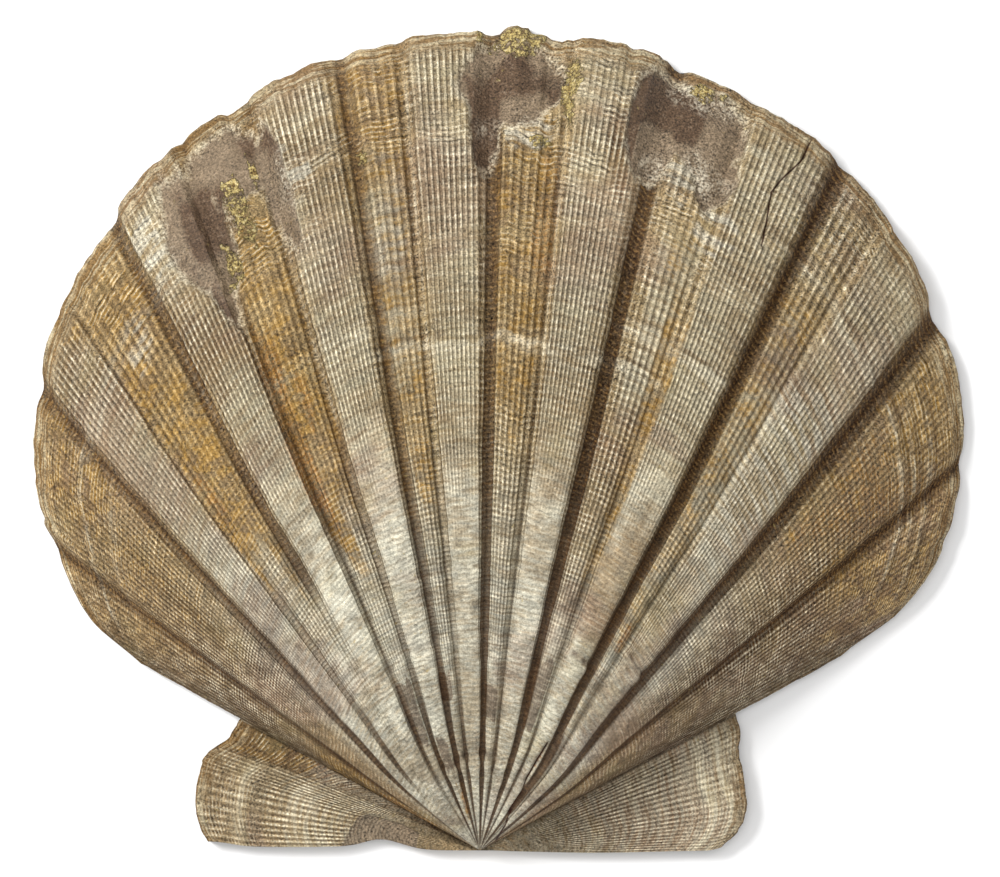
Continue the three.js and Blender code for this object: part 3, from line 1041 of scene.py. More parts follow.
    def join_ear(self, side: Side, disc: Grid, ear: Grid, face: Face) -> None:
        """Adds an ear's faces, from the disc's crease column to the hinge line.

        Args:
            side: which ear.
            disc: the disc's vertex numbers and points.
            ear: the ear's vertex numbers and points.
            face: which of the shell's faces it is.
        """
        column = 0 if side is Side.LEFT else -1
        rows = ear[0].shape[1]
        joined, points = (np.concatenate([d[column, :rows][None], e]) for d, e in zip(disc, ear))
        if side is Side.LEFT:
            joined, points = joined[::-1], points[::-1]
        self.parts.add_sheet(joined, points, face)

    def outer(self) -> tuple[list[Array], list[Array]]:
        """Adds the outer face.

        Returns:
            Its columns of vertex numbers from the left hinge corner to the right one, and the
            points in the same order.
        """
        points, marks = self.disc()
        beak = self.parts.add_points(points[:1, :1], crack=NO_CRACK)[0, 0]
        disc = (self.add_grid(points, beak, marks), points)
        self.parts.add_sheet(*disc, Face.OUTER)
        ears = {}
        for side, column in ((Side.LEFT, 0), (Side.RIGHT, -1)):
            points, marks = self.ear(side, disc[1][column])
            ears[side] = (self.add_grid(points, beak, marks), points)
            self.join_ear(side, disc, ears[side], Face.OUTER)
        left, right = ears[Side.LEFT], ears[Side.RIGHT]
        return [*left[0][::-1], *disc[0], *right[0]], [*left[1][::-1], *disc[1], *right[1]]

    @staticmethod
    def edge_loop(columns: Sequence[Array]) -> Array:
        """The boundary of a side as one loop of vertex numbers or points.

        It runs out along the left hinge, round the left ear, the disc and the right ear, and back
        along the right hinge to the beak.
        """
        loop = [columns[0]]
        for before, here in zip(columns, columns[1:]):
            if len(here) > len(before):
                loop.append(here[len(before) - 1 :])
            elif len(here) < len(before):
                loop.append(before[len(here) - 1 : -1][::-1])
                loop.append(here[-1:])
            else:
                loop.append(here[-1:])
        loop.append(columns[-1][1:-1][::-1])
        return np.concatenate(loop)

    def inner(self) -> Array:
        """Adds the inner face, coarser than the outer one.

        Returns:
            Its boundary loop of vertex numbers.
        """
        plan = self.plan
        step = self.coarse
        angle = self.ray_angles()[::step]
        share = self.inner_shares(angle)
        spot = plan.on_disc(angle, share)
        height = plan.inner_height(spot) + self.inner_relief(spot)
        points = self.inset(np.stack([spot.x, spot.y, np.maximum(height, 0)], -1))
        beak = self.parts.add_points(points[:1, :1])[0, 0]
        disc = (self.add_grid(points, beak, self.inner_marks(spot)), points)
        self.parts.add_sheet(*disc, Face.INNER)
        ears = {}
        out = (self.row_shares()[: self.ear_rows + 1 : step] / plan.ear_reach)[None, :]
        for side in Side:
            count = 2 * self.ear_riblets(side) // step
            across = (np.arange(1, count + 1) / count)[:, None]
            edge_x, edge_y = plan.ear_edge(side, across)
            x = edge_x * out
            y = edge_y * out + self.hinge_wander(x) * across**3
            points = self.inset(np.stack([x, y, 0 * x], -1))
            ears[side] = self.add_grid(points, beak, {})
            self.join_ear(side, disc, (ears[side], points), Face.INNER)
        return self.edge_loop([*ears[Side.LEFT][::-1], *disc[0], *ears[Side.RIGHT]])

    def inner_shares(self, angle: Array) -> Array:
        """Rows of the inner face: under the hollow they run from the hinge plate to the band."""
        plan = self.plan
        rows = self.rows // self.coarse
        plain = np.broadcast_to(self.row_shares()[:: self.coarse][None, :], (len(angle), rows + 1))
        spot = plan.on_disc(angle, np.full((1, 1), 0.5))
        start = plan.hollow_start(spot) / spot.reach
        end = 1 - plan.rest_band / spot.reach
        t = (np.arange(rows - 1) / (rows - 2))[None, :] ** 1.4
        shares = plain.copy()
        hollow = np.abs(angle[:, 0]) < plan.hollow_angle
        shares[hollow, 1:-1] = (start + (end - start) * t)[hollow]
        return shares

    def inset(self, points: Array) -> Array:
        """Draws the inner face in by a little towards the disc's middle, so the edge is bevelled."""
        middle = np.array([0.0, 55.0, 0.0])
        return middle + (points - middle) * np.array([self.inset_share, self.inset_share, 1.0])

    @staticmethod
    def from_scar(spot: Spot) -> Array:
        """Distance from the middle of the muscle scar, which is a little shorter than it is wide."""
        return np.hypot(spot.x - 9, (spot.y - 58) * 1.1)

    def inner_relief(self, spot: Spot) -> Array:
        """The muscle scar's shallow step and slight growth waves, inside the hollow only."""
        scar = 1 - smoothstep(self.from_scar(spot), 14, 15.5)
        deep = smoothstep(spot.distance, 16, 30) * (1 - smoothstep(spot.share, 0.86, 0.95))
        deep = deep * (1 - smoothstep(np.abs(spot.angle), 46, 54))
        waves = 0.12 * np.sin(spot.share * 70 + 2 * noise(spot.angle * 0.1, spot.share * 6, 5))
        return deep * (0.35 * scar + waves)

    def inner_marks(self, spot: Spot) -> dict[str, Array]:
        """Colour zones of the inner face: the muscle scar and the darker band near the margin."""
        return {
            "pale": 1 - smoothstep(self.from_scar(spot), 13, 15),
            "umber": smoothstep(spot.share, 0.8, 0.97),
            "crack": np.full(spot.x.shape, NO_CRACK),
        }

    def edge(self, top: Array, top_points: Array, inner: Array) -> None:
        """Adds the wall round the edge: down from the outer face, then in to the inner face.

        Args:
            top: the outer face's boundary loop of vertex numbers.
            top_points: that loop's points.
            inner: the inner face's boundary loop, with one vertex for each few of the outer one.
        """
        count = len(top)
        low = self.low_edge(top_points)
        lower = self.parts.add_points(low, umber=0.8, crack=NO_CRACK)
        along = np.arange(count + 1) / count * STRIP_LENGTH + STRIP_START
        following = np.roll(np.arange(count), -1)
        start, end = along[:-1], along[1:]
        top_places = (start, STRIP_TOP), (end, STRIP_TOP)
        places = self.strip(*top_places, (end, STRIP_MIDDLE), (start, STRIP_MIDDLE))
        quads = np.stack([top, top[following], lower[following], lower], -1)
        self.parts.add_faces(quads, places, Face.OUTER)
        self.fan_in(lower, inner, along)

    @staticmethod
    def strip(*corners: tuple[Array, float]) -> Array:
        """Map places of the edge's faces, from each corner's places along the strip and height."""
        return np.stack([np.stack(np.broadcast_arrays(*corner), -1) for corner in corners], 1)

    def low_edge(self, top_points: Array) -> Array:
        """The foot of the edge wall: under the outer boundary, lifted where ribs arch over it."""
        plan = self.plan
        x, y, z = top_points.T
        angle = np.degrees(np.arctan2(x, np.maximum(y, 0.01)))
        own = angle - self.bend_at_margin(angle)
        free = smoothstep(np.hypot(x, y), 60, 72)
        lift = plan.rib_height * plan.fold_share * sum(rib.shape(own) for rib in RIBS) * free
        return np.stack([x, y, np.minimum(lift, z - 1.0)], -1)

    def bend_at_margin(self, angle: Array) -> Array:
        """How far a ray has turned by the time it reaches the margin."""
        left, right = self.plan.creases()
        crease = np.where(angle < 0, left, right)
        inside = np.clip(1 - (angle / crease) ** 2, 0, 1)
        return self.plan.rib_bend[-1][1] * angle * inside

    def fan_in(self, lower: Array, inner: Array, along: Array) -> None:
        """Joins the fine lower loop to the coarse inner loop: fans round each inner vertex."""
        step = self.coarse
        count = len(lower)
        half = step // 2
        fine = np.arange(count)
        owner = ((fine + half) // step) % len(inner)
        following = np.roll(fine, -1)
        owner_place = ((fine + half) // step) * step / count * STRIP_LENGTH + STRIP_START
        corners = np.stack([lower[fine], lower[following], inner[owner]], -1)
        lower_places = (along[:-1], STRIP_MIDDLE), (along[1:], STRIP_MIDDLE)
        places = self.strip(*lower_places, (owner_place, STRIP_BASE))
        self.parts.add_faces(corners, places, Face.INNER)
        turn = fine[half - 1 :: step][: len(inner)]
        apex = lower[(turn + 1) % count]
        first, second = inner, np.roll(inner, -1)
        spot = (turn + 1) / count * STRIP_LENGTH + STRIP_START
        back = np.arange(len(inner)) * step / count * STRIP_LENGTH + STRIP_START
        front = back + step / count * STRIP_LENGTH
        corners = np.stack([apex, second, first], -1)
        places = self.strip((spot, STRIP_MIDDLE), (front, STRIP_BASE), (back, STRIP_BASE))
        self.parts.add_faces(corners, places, Face.INNER)

    def build(self) -> bpy.types.Object:
        """Makes the valve's object, standing where the CAD body stands."""
        columns, points = self.outer()
        inner = self.inner()
        self.edge(self.edge_loop(columns), self.edge_loop(points), inner)
        self.settle()
        mesh = self.parts.mesh("fossil_scallop")
        self.sharpen(mesh)
        piece = bpy.data.objects.new("fossil_scallop", mesh)
        bpy.context.scene.collection.objects.link(piece)
        return piece

    def settle(self) -> None:
        """Moves the whole shell so that its beak stands where the CAD body has it."""
        for grid in self.parts.points:
            grid += np.array([BEAK[0], BEAK[1], 0.0])

    def sharpen(self, mesh: bpy.types.Mesh) -> None:
        """Marks the lines along riblets sharp: edges between rows of one column."""
        disc = (2 * self.riblets + 1) * self.rows
        edges = np.empty(2 * len(mesh.edges), np.int32)
        mesh.edges.foreach_get("vertices", edges)
        edges = np.sort(edges.reshape(-1, 2), axis=1)
        low, high = edges[:, 0] - 1, edges[:, 1] - 1
        along = (high - low == 1) & (low >= 0) & (high < disc)
        same = along & (low // self.rows == high // self.rows)
        sharp = mesh.attributes.new("sharp_edge", "BOOLEAN", "EDGE")
        sharp.data.foreach_set("value", same)

    def dress(self, piece: bpy.types.Object, finishes: Sequence["Finish"]) -> None:
        """Gives the piece its materials, in the order of its slots."""
        for finish in finishes:
            piece.data.materials.append(finish.material())


def min_gap(gaps: Sequence[Array]) -> Array:
    """The gap nearest to 0 at each point, with its sign."""
    best = gaps[0]
    for gap in gaps[1:]:
        best = np.where(np.abs(gap) < np.abs(best), gap, best)
    return best


# ---------------------------------------------------------------- shader building


@dataclass(frozen=True)
class Wire:
    """A shader socket that arithmetic can be written with."""

    tree: bpy.types.NodeTree
    socket: bpy.types.NodeSocket

    def math(self, operation: str, first: object, second: object) -> "Wire":
        """A Math node on two values."""
        node = self.tree.nodes.new("ShaderNodeMath")
        node.operation = operation
        for value, socket in zip((first, second), node.inputs):
            connect(self.tree, value, socket)
        return Wire(self.tree, node.outputs[0])

    def __add__(self, other: object) -> "Wire":
        """This plus another value."""
        return self.math("ADD", self, other)

    __radd__ = __add__

    def __sub__(self, other: object) -> "Wire":
        """This minus another value."""
        return self.math("SUBTRACT", self, other)

    def __rsub__(self, other: object) -> "Wire":
        """Another value minus this."""
        return self.math("SUBTRACT", other, self)

    def __mul__(self, other: object) -> "Wire":
        """This times another value."""
        return self.math("MULTIPLY", self, other)

    __rmul__ = __mul__


def connect(tree: bpy.types.NodeTree, value: object, socket: bpy.types.NodeSocket) -> None:
    """Links a wire into a socket, or sets the socket's own value."""
    if isinstance(value, Wire):
        tree.links.new(value.socket, socket)
    else:
        socket.default_value = value


def linear(red: int, green: int, blue: int) -> tuple[float, float, float, float]:
    """A colour from its 0..255 screen values, in linear light."""
    values = [c / 255 for c in (red, green, blue)]
    light = [v / 12.92 if v <= 0.04045 else ((v + 0.055) / 1.055) ** 2.4 for v in values]
    return (light[0], light[1], light[2], 1.0)


@dataclass
class Graph:
    """One material's node tree."""

    name: str
    made: bpy.types.Material = field(init=False)
    tree: bpy.types.NodeTree = field(init=False)

    def __post_init__(self) -> None:
        """Makes an empty node material."""
        self.made = bpy.data.materials.new(self.name)
        self.made.use_nodes = True
        self.tree = self.made.node_tree
        self.tree.nodes.clear()

    def node(
        self,
        kind: str,
        settings: dict[str, object] | None = None,
        sockets: dict[str | int, object] | None = None,
    ) -> bpy.types.Node:
        """Adds a node.

        Args:
            kind: its type, without the leading "ShaderNode".
            settings: its own settings, set first.
            sockets: values or wires for its inputs, by name or number.

        Returns:
            The node.
        """
        made = self.tree.nodes.new("ShaderNode" + kind)
        for name, value in (settings or {}).items():
            setattr(made, name, value)
        for name, value in (sockets or {}).items():
            connect(self.tree, value, made.inputs[name])
        return made

    def wire(self, node: bpy.types.Node, output: str | int = 0) -> Wire:
        """A node's output as a wire."""
        return Wire(self.tree, node.outputs[output])

    def mark(self, name: str) -> Wire:
        """A vertex attribute."""
        return self.wire(self.node("Attribute", {"attribute_name": name}), "Fac")

    def noise(self, scale: float, detail: float, roughness: float = 0.55) -> Wire:
        """Noise on the object's own coordinates, with its scale per metre."""
        place = self.wire(self.node("TexCoord"), "Object")
        made = self.node(
            "TexNoise",
            {"noise_dimensions": "3D"},
            {"Vector": place, "Scale": scale, "Detail": detail, "Roughness": roughness},
        )
        return self.wire(made, "Fac")

    def streak(self, riblet: Wire, scale: Wire, across: float, along: float) -> Wire:
        """Noise stretched with the growth: its scales per riblet across and per scale along."""
        place = self.node("CombineXYZ", {}, {0: riblet * across, 1: scale * along})
        made = self.node(
            "TexNoise",
            {"noise_dimensions": "2D"},
            {"Vector": self.wire(place), "Scale": 1.0, "Detail": 3.0, "Roughness": 0.6},
        )
        return self.wire(made, "Fac")

    def step(self, value: Wire, low: float, high: float) -> Wire:
        """Eases a value from 0 at low to 1 at high."""
        made = self.node(
            "MapRange",
            {"interpolation_type": "SMOOTHSTEP"},
            {"Value": value, "From Min": low, "From Max": high},
        )
        return self.wire(made, "Result")

    def wave(self, value: Wire) -> Wire:
        """A wave of height 0..1 that peaks at whole numbers."""
        made = self.node("Math", {"operation": "COSINE"}, {0: value * (2 * math.pi)})
        return self.wire(made) * 0.5 + 0.5

    def mix(self, under: object, over: object, amount: object) -> Wire:
        """Mixes two colours."""
        return self.wire(self.node("Mix", {"data_type": "RGBA"}, {0: amount, 6: under, 7: over}), 2)

    def shade(self, colour: Wire, amount: Wire) -> Wire:
        """Multiplies a colour by a grey amount."""
        grey = self.wire(self.node("CombineColor", {}, {0: amount, 1: amount, 2: amount}))
        settings = {"data_type": "RGBA", "blend_type": "MULTIPLY"}
        return self.wire(self.node("Mix", settings, {0: 1.0, 6: colour, 7: grey}), 2)

    def finish(self, sockets: dict[str, object]) -> bpy.types.Material:
        """Ends the tree in one Principled shader."""
        shader = self.node("BsdfPrincipled", {}, sockets)
        self.node("OutputMaterial", {}, {"Surface": self.wire(shader)})
        return self.made


class Patterns:
    """The noises, waves and marks that several layers of the outer face share."""

    def __init__(self, g: Graph) -> None:
        """Makes them in one material's tree.

        Args:
            g: the material's tree.
        """
        self.graph = g
        self.grit, self.grain = g.noise(3600, 2), g.noise(2300, 3)
        self.mottle, self.cloud = g.noise(520, 4, 0.65), g.noise(120, 3)
        self.lumps = g.noise(1400, 3, 0.7)
        self.ragged = 0.5 * self.mottle + 0.5 * self.grain
        self.riblet, self.scale = g.mark("riblet"), g.mark("scale")
        self.ribletting, self.beading = g.mark("ribletting"), g.mark("beading")
        self.threads = g.streak(self.riblet, self.scale, 1.0, 0.12)
        self.bands = g.streak(self.riblet, self.scale, 0.12, 1.0)
        uneven = 0.4 * self.mottle + 0.3 * g.noise(260, 2) + 0.3 * self.cloud
        self.patchy = g.step(uneven, 0.36, 0.6)
        self.young, self.old = g.mark("young"), g.step(g.mark("fineness"), 0.9, 1.2)
        self.browner = 1 - g.mark("pale")
        jitter = 0.3 * (self.grain - 0.5)
        sway = self.mottle - 0.5
        self.crest = g.wave(self.riblet + jitter)
        self.bead = g.wave(self.scale + 0.6 * sway + jitter)
        self.line = g.wave(g.mark("growth") + (0.7 - 0.4 * self.young) * sway)
        stain = self.patch("ochre") * (0.6 + 0.4 * g.step(self.mottle, 0.42, 0.56))
        self.stain = stain * (0.5 + 0.5 * g.step(g.noise(180, 3), 0.42, 0.56))
        crusts = g.mark("crust") * 0.75 + self.lumps * 0.6 + self.mottle * 0.4
        self.crusted = g.step(crusts, 1.16, 1.26)

    def patch(self, name: str, soft: float = 0.28) -> Wire:
        """A zone's strength, with edges broken up by the ragged noise."""
        strength = self.graph.mark(name) * 1.3 + self.ragged * 0.9
        return self.graph.step(strength, 1.0 - soft, 1.0 + soft)


@dataclass(frozen=True)
class Finish:
    """A surface finish that can make its material."""

    def material(self) -> bpy.types.Material:
        """Makes the finish's material."""
        raise NotImplementedError


@dataclass(frozen=True)
class WeatheredCalcite(Finish):
    """The outer face: chalky ribs, stained scaly riblets, painted shade in the grooves and bare broken
    patches.
    """

    fresh: tuple = linear(216, 211, 190)
    fresh_shade: tuple = linear(172, 158, 132)
    chalk: tuple = linear(204, 191, 158)
    chalk_shade: tuple = linear(166, 147, 114)
    sand: tuple = linear(178, 154, 112)
    umber: tuple = linear(148, 120, 82)
    ochre: tuple = linear(166, 130, 68)
    ochre_dark: tuple = linear(116, 88, 48)
    rust: tuple = linear(158, 98, 34)
    # dark brown: painted shade in the gaps between riblets, and dark flecks of dirt in the grain
    dirt_and_gap_shade: tuple = linear(80, 50, 18)
    bead: tuple = linear(242, 232, 204)
    straw: tuple = linear(222, 192, 134)
    # painted shade for the grooves beside the ribs; the next colour gives its lighter hatch lines and also
    # the rim's dark layers
    groove: tuple = linear(66, 40, 14)
    hatch: tuple = linear(122, 92, 52)
    bare: tuple = linear(131, 113, 91)
    bare_dark: tuple = linear(92, 72, 54)
    worn: tuple = linear(128, 112, 94)
    shade: tuple = linear(96, 74, 50)
    crust: tuple = linear(186, 166, 108)
    # painted shade in the hollows between the crust's lumps
    crust_hollow_shade: tuple = linear(118, 92, 48)
    scuff: tuple = linear(220, 212, 190)
    rosy: tuple = linear(160, 128, 112)
    mossy: tuple = linear(176, 166, 112)
    crack: tuple = linear(60, 30, 16)

    def ground(self, g: Graph, p: Patterns) -> Wire:
        """The plain shell, from chalky and pale to brown, in clouds and along the growth."""
        chalk = g.mix(self.chalk, self.fresh, p.young)
        chalk_shade = g.mix(self.chalk_shade, self.fresh_shade, p.young)
        chalk = g.mix(chalk_shade, chalk, g.step(p.cloud * 0.5 + p.bands * 0.5, 0.38, 0.62))
        tone = g.mix(self.sand, chalk, g.mark("pale"))
        tone = g.mix(tone, self.umber, g.mark("umber") * (0.55 + 0.6 * p.mottle))
        tone = g.mix(tone, self.shade, g.mark("shade") * (0.5 + 0.6 * p.mottle))
        blush = g.step(g.noise(45, 2) - 0.16 * g.mark("band"), 0.48, 0.68)
        tone = g.mix(tone, self.rosy, blush * 0.36)
        tone = g.mix(tone, self.mossy, g.step(g.noise(75, 3), 0.52, 0.7) * 0.2)
        return g.mix(tone, self.bead, g.mark("light") * g.step(p.bands, 0.3, 0.7) * 0.7)

    def stained(self, g: Graph, p: Patterns, tone: Wire, golden: Wire) -> Wire:
        """Ochre and rust stains, worn spots and pale scuffs."""
        tone = g.mix(tone, golden, p.stain * 0.85)
        tone = g.mix(tone, self.rust, p.patch("rust") * g.step(p.ragged, 0.4, 0.58) * 0.7)
        tone = g.mix(tone, self.worn, p.patch("worn", 0.12) * 0.85)
        return g.mix(tone, self.scuff, p.patch("scuff") * g.step(p.bands, 0.4, 0.6) * 0.8)

    def threaded(self, g: Graph, p: Patterns, tone: Wire) -> Wire:
        """Pale threads along the riblets with painted highlight on their crests, and painted shade in the
        gaps and fainter bars across.
        """
        umber = g.mark("umber")
        evenly = p.patchy + (1 - p.patchy) * 0.6 * umber
        # painted shade in the gaps between the riblets, and in the bars between the beads across them
        gap = p.ribletting * (1 - g.step(p.crest, 0.0, 0.5)) * (0.35 + 0.65 * evenly)
        cross = p.ribletting * p.beading * (1 - g.step(p.bead, 0.0, 0.45)) * (0.3 + 0.7 * p.patchy)
        depth = 0.3 + 0.16 * p.browner + 0.2 * umber + 0.34 * p.threads - 0.12 * p.old
        tone = g.shade(tone, (1 - gap * depth) * (1 - cross * 0.38))
        # the gaps' painted shade, warmed with some dark brown dirt
        tone = g.mix(tone, self.dirt_and_gap_shade, gap * (0.3 + 0.25 * umber))
        thread = g.mix(self.bead, self.straw, g.mark("ochre") * 0.8)
        # painted highlight along the riblets' crests, over the pale thread colour, broken where beads cross
        beaded = (0.65 - 0.35 * p.old) * (1 - g.step(p.bead, 0.35, 0.9))
        ridge = g.step(p.crest, 0.6, 0.98) * (1 - beaded)
        lit = ridge * (0.25 + 0.75 * g.step(p.mottle * 0.5 + p.threads * 0.5, 0.42, 0.62))
        lift = 0.32 + 0.36 * evenly + 0.16 * p.browner + 0.16 * umber
        tone = g.mix(tone, thread, p.ribletting * lit * lift)
        # painted highlight on the beads' peaks
        rung = g.step(p.bead, 0.75, 1.0) * p.beading * p.ribletting
        return g.mix(tone, thread, rung * (1 - ridge) * 0.25 * p.patchy)

    def lined(self, g: Graph, p: Patterns, tone: Wire) -> Wire:
        """Fine growth lines, dark and pale, with pale frills where growth paused."""
        lined = g.mark("fibre") * (0.6 + 0.4 * p.browner) + p.old * p.patchy * 0.5
        fading = lined * (1 - 0.3 * p.young) * (0.3 + 0.7 * p.patchy)
        frill = g.step(g.mark("light"), 0.62, 1.0) * (1 - g.mark("pale"))
        tone = g.mix(tone, self.bead, frill * g.step(p.mottle, 0.4, 0.56) * 0.6)
        arcs = g.step(p.line, 0.72, 1.0) * (0.25 + 0.75 * g.step(p.bands, 0.42, 0.6))
        tone = g.shade(tone, 1 - fading * arcs * 0.7)
        between = (1 - g.step(p.line, 0.0, 0.3)) * g.step(p.mottle, 0.4, 0.6)
        tone = g.mix(tone, self.bead, fading * between * 0.5)
        return g.shade(tone, 1 - g.step(p.bands, 0.5, 0.75) * 0.2)

    def edged(self, g: Graph, p: Patterns, tone: Wire) -> Wire:
        """The layered rim, and painted shade in the grooves beside the ribs, hatched with lighter lines."""
        layers = g.streak(p.riblet, g.mark("rim"), 0.14, 1.9)
        edge = 1 - g.step(g.mark("rim") + 5 * (p.cloud - 0.5) + 3 * (p.mottle - 0.5), 1.8, 4.0)
        rim = g.mix(self.hatch, self.chalk, g.step(layers, 0.42, 0.62) * (0.4 + 0.6 * p.patchy))
        tone = g.mix(tone, rim, edge * 0.7)
        # painted shade in the grooves: dark brown crossed by lighter hatch lines
        deep = g.step(g.mark("groove") + 0.3 * (p.mottle - 0.5), 0.2, 1.0)
        hatch = g.wave(p.scale * 1.6 + p.riblet * 0.7 + 0.8 * (p.grain - 0.5))
        hatched = g.step(hatch, 0.35, 0.9) * g.step(p.grain, 0.4, 0.6) * (1 - 0.7 * p.young)
        return g.mix(tone, g.mix(self.groove, self.hatch, hatched), deep * 0.9)

    def broken(self, g: Graph, p: Patterns, tone: Wire) -> Wire:
        """Bare patches where the outer layer has come off, with a pale lip round them."""
        cloudy = p.cloud * 0.6 + 0.3 * (p.mottle - 0.5) + 0.4 * g.mark("umber")
        bare = g.mix(self.bare, self.bare_dark, g.step(cloudy, 0.42, 0.62))
        bare = g.mix(bare, self.scuff, g.step(p.mottle * 0.4 + p.grain * 0.6, 0.52, 0.7) * 0.12)
        bare = g.mix(bare, self.scuff, g.mark("scuff") * g.step(p.ragged, 0.42, 0.6) * 0.5)
        tone = g.mix(tone, bare, g.mark("bare"))
        lip = g.mark("bare") * (1 - g.mark("bare")) * 4
        return g.mix(tone, self.bead, lip * g.step(p.ragged, 0.42, 0.58) * 0.35)

    def encrusted(self, g: Graph, p: Patterns, tone: Wire) -> Wire:
        """Yellow crusts in lumps, with painted shade low on the lumps and painted highlight on their tops,
        and stray flecks of the same.
        """
        flecks = g.step(g.noise(1300, 2), 0.66, 0.74) * g.step(p.cloud, 0.45, 0.6)
        # painted shade on the low parts of the lumps, which the bump also sinks
        crust = g.mix(self.crust_hollow_shade, self.crust, g.step(p.lumps, 0.4, 0.56))
        # painted highlight on the lumps' tops
        crust = g.mix(crust, self.bead, g.step(p.lumps, 0.58, 0.72) * 0.5)
        tone = g.mix(tone, crust, p.crusted)
        return g.mix(tone, crust, flecks * 0.6)

    def speckled(self, g: Graph, p: Patterns, tone: Wire) -> Wire:
        """Cracks and dark growth stops, then fine grain and mottling over everything."""
        away = g.wire(g.node("Math", {"operation": "ABSOLUTE"}, {0: g.mark("crack")}))
        tone = g.mix(tone, self.crack, 1 - g.step(away, 0.03, 0.22))
        tone = g.mix(tone, self.crack, g.mark("stop") * 0.8)
        speck = 0.6 * p.grit + 0.4 * p.grain
        coarseness = 3.0 + 1.4 * p.browner - 1.0 * p.young - 1.5 * p.stain
        mottling = (0.8 + 1.0 * p.young) * (p.mottle - 0.5)
        grey = 0.8 + coarseness * (speck - 0.5) + 0.18 * g.mark("band")
        tone = g.shade(tone, grey * (1 + mottling))
        # dark flecks of dirt in the grain
        return g.mix(tone, self.dirt_and_gap_shade, g.step(p.grain, 0.6, 0.72) * 0.4)

    def relief(self, g: Graph, p: Patterns) -> Wire:
        """The finest relief as a bumped normal: woven riblets, grain, crusts and growth lines."""
        weave = 1 - p.beading * (1 - g.step(p.bead, 0.0, 0.6)) * 0.5
        height = p.ribletting * g.step(p.crest, 0.0, 0.8) * weave * g.mark("fineness")
        height = height + (0.8 - 0.4 * p.young) * p.grain + 0.3 * p.grit
        height = height + p.crusted * p.lumps * 3
        smooth = (1 - p.ribletting) * (1 - g.mark("bare"))
        height = height - smooth * p.line * 0.35
        bump = g.node("Bump", {}, {"Strength": 1.0, "Distance": 0.00024, "Height": height})
        return g.wire(bump)

    def material(self) -> bpy.types.Material:
        """Makes the outer face's material."""
        g = Graph("weathered_calcite")
        p = Patterns(g)
        golden = g.step(0.7 * p.mottle + 0.3 * p.grain, 0.42, 0.58)
        golden = g.mix(self.ochre_dark, self.ochre, golden)
        tone = self.stained(g, p, self.ground(g, p), golden)
        tone = self.threaded(g, p, tone)
        smear = p.stain * g.step(0.6 * p.cloud + 0.4 * p.mottle, 0.46, 0.58)
        tone = g.mix(tone, golden, smear * 0.55)
        for layer in (self.lined, self.edged, self.broken, self.encrusted, self.speckled):
            tone = layer(g, p, tone)
        return g.finish(
            {
                "Base Color": tone,
                "Roughness": 0.9 - 0.3 * g.mark("bare") - 0.12 * g.mark("pale"),
                "Specular IOR Level": 0.2,
                "Normal": self.relief(g, p),
            }
        )


@dataclass(frozen=True)
class ShellLining(Finish):
    """The inner face: smooth, pale, slightly glossy, browner towards the margin."""

    lining: tuple = linear(206, 196, 178)
    cloudy: tuple = linear(178, 160, 134)
    margin: tuple = linear(146, 122, 92)
    scar: tuple = linear(222, 216, 204)

    def material(self) -> bpy.types.Material:
        """Makes the inner face's material."""
        g = Graph("shell_lining")
        cloud = g.noise(70, 4)
        grain = g.noise(1500, 3)
        tone = g.mix(self.lining, self.cloudy, g.step(cloud, 0.4, 0.7))
        tone = g.mix(tone, self.margin, g.mark("umber") * (0.5 + 0.5 * grain))
        tone = g.mix(tone, self.scar, g.mark("pale") * 0.6)
        tone = g.shade(tone, 0.85 + 0.25 * grain)
        bump = g.node("Bump", {}, {"Strength": 0.5, "Distance": 0.0001, "Height": grain})
        return g.finish(
            {
                "Base Color": tone,
                "Roughness": 0.45 + 0.2 * cloud,
                "Normal": g.wire(bump),
            }
        )


# ---------------------------------------------------------------- the studio


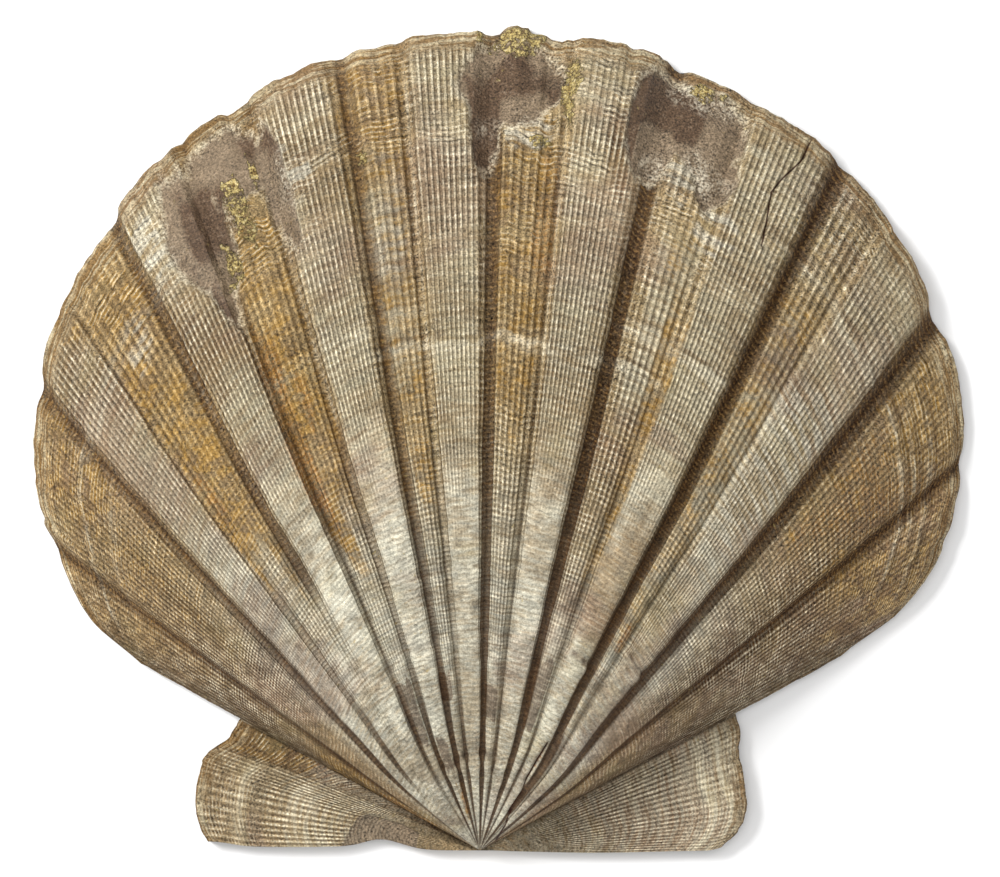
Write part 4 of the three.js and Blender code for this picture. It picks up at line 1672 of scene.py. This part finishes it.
@dataclass(frozen=True)
class Studio:
    """A pale floor, soft light from above and the near left, and a camera looking straight down."""

    view_width: float = 0.1493
    camera_height: float = 1.1
    sensor: float = 36.0
    camera_shift: tuple[float, float] = (0.0002, 0.0003)
    floor_half: float = 4.0
    surround: float = 0.55

    def build(self) -> None:
        """Makes the floor, the lights and the camera."""
        self.floor()
        self.lights()
        self.camera()
        bpy.context.scene.view_settings.view_transform = "Standard"

    def floor(self) -> None:
        """A plain pale floor under the shell."""
        h = self.floor_half
        mesh = bpy.data.meshes.new("floor")
        mesh.from_pydata([(-h, -h, 0), (h, -h, 0), (h, h, 0), (-h, h, 0)], [], [(0, 1, 2, 3)])
        floor = bpy.data.objects.new("floor", mesh)
        bpy.context.scene.collection.objects.link(floor)
        graph = Graph("pale_floor")
        floor.data.materials.append(
            graph.finish({"Base Color": (0.93, 0.93, 0.93, 1), "Roughness": 0.9})
        )

    def lights(self) -> None:
        """An even white surround, and a broad soft lamp from the upper left."""
        world = bpy.data.worlds.new("studio")
        world.use_nodes = True
        background = world.node_tree.nodes["Background"]
        background.inputs["Color"].default_value = (1, 1, 1, 1)
        background.inputs["Strength"].default_value = self.surround
        bpy.context.scene.world = world
        self.lamp("key", (-0.55, 0.35, 0.75), 0.35, 9.0)
        self.lamp("top", (0.0, 0.1, 1.3), 0.8, 6.0)

    def lamp(self, name: str, place: tuple[float, float, float], size: float, power: float) -> None:
        """A square area lamp that faces the shell."""
        data = bpy.data.lights.new(name, "AREA")
        data.size = size
        data.energy = power
        lamp = bpy.data.objects.new(name, data)
        lamp.location = place
        lamp.rotation_euler = facing(place)
        bpy.context.scene.collection.objects.link(lamp)

    def camera(self) -> None:
        """A long-lens camera straight above the shell, with the hinge at the bottom."""
        data = bpy.data.cameras.new("camera")
        data.sensor_width = self.sensor
        data.lens = self.sensor * self.camera_height / self.view_width
        data.clip_end = 20
        camera = bpy.data.objects.new("camera", data)
        camera.location = (*self.camera_shift, self.camera_height)
        bpy.context.scene.collection.objects.link(camera)
        bpy.context.scene.camera = camera


def facing(place: tuple[float, float, float]) -> tuple[float, float, float]:
    """The rotation that makes a lamp at a place look at the origin."""
    x, y, z = place
    return (math.atan2(math.hypot(x, y), z), 0.0, math.atan2(x, -y))


def main() -> None:
    """Builds the valve and the studio."""
    logging.basicConfig(level=logging.INFO, format="%(name)s: %(message)s")
    valve = Valve()
    piece = valve.build()
    valve.dress(piece, (WeatheredCalcite(), ShellLining()))
    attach(piece, BODY)
    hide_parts(NODE)
    LOG.info("%s: %d vertices, %d faces", piece.name, len(piece.data.vertices), len(piece.data.polygons))
    Studio().build()


if __name__ == "__main__":
    main()
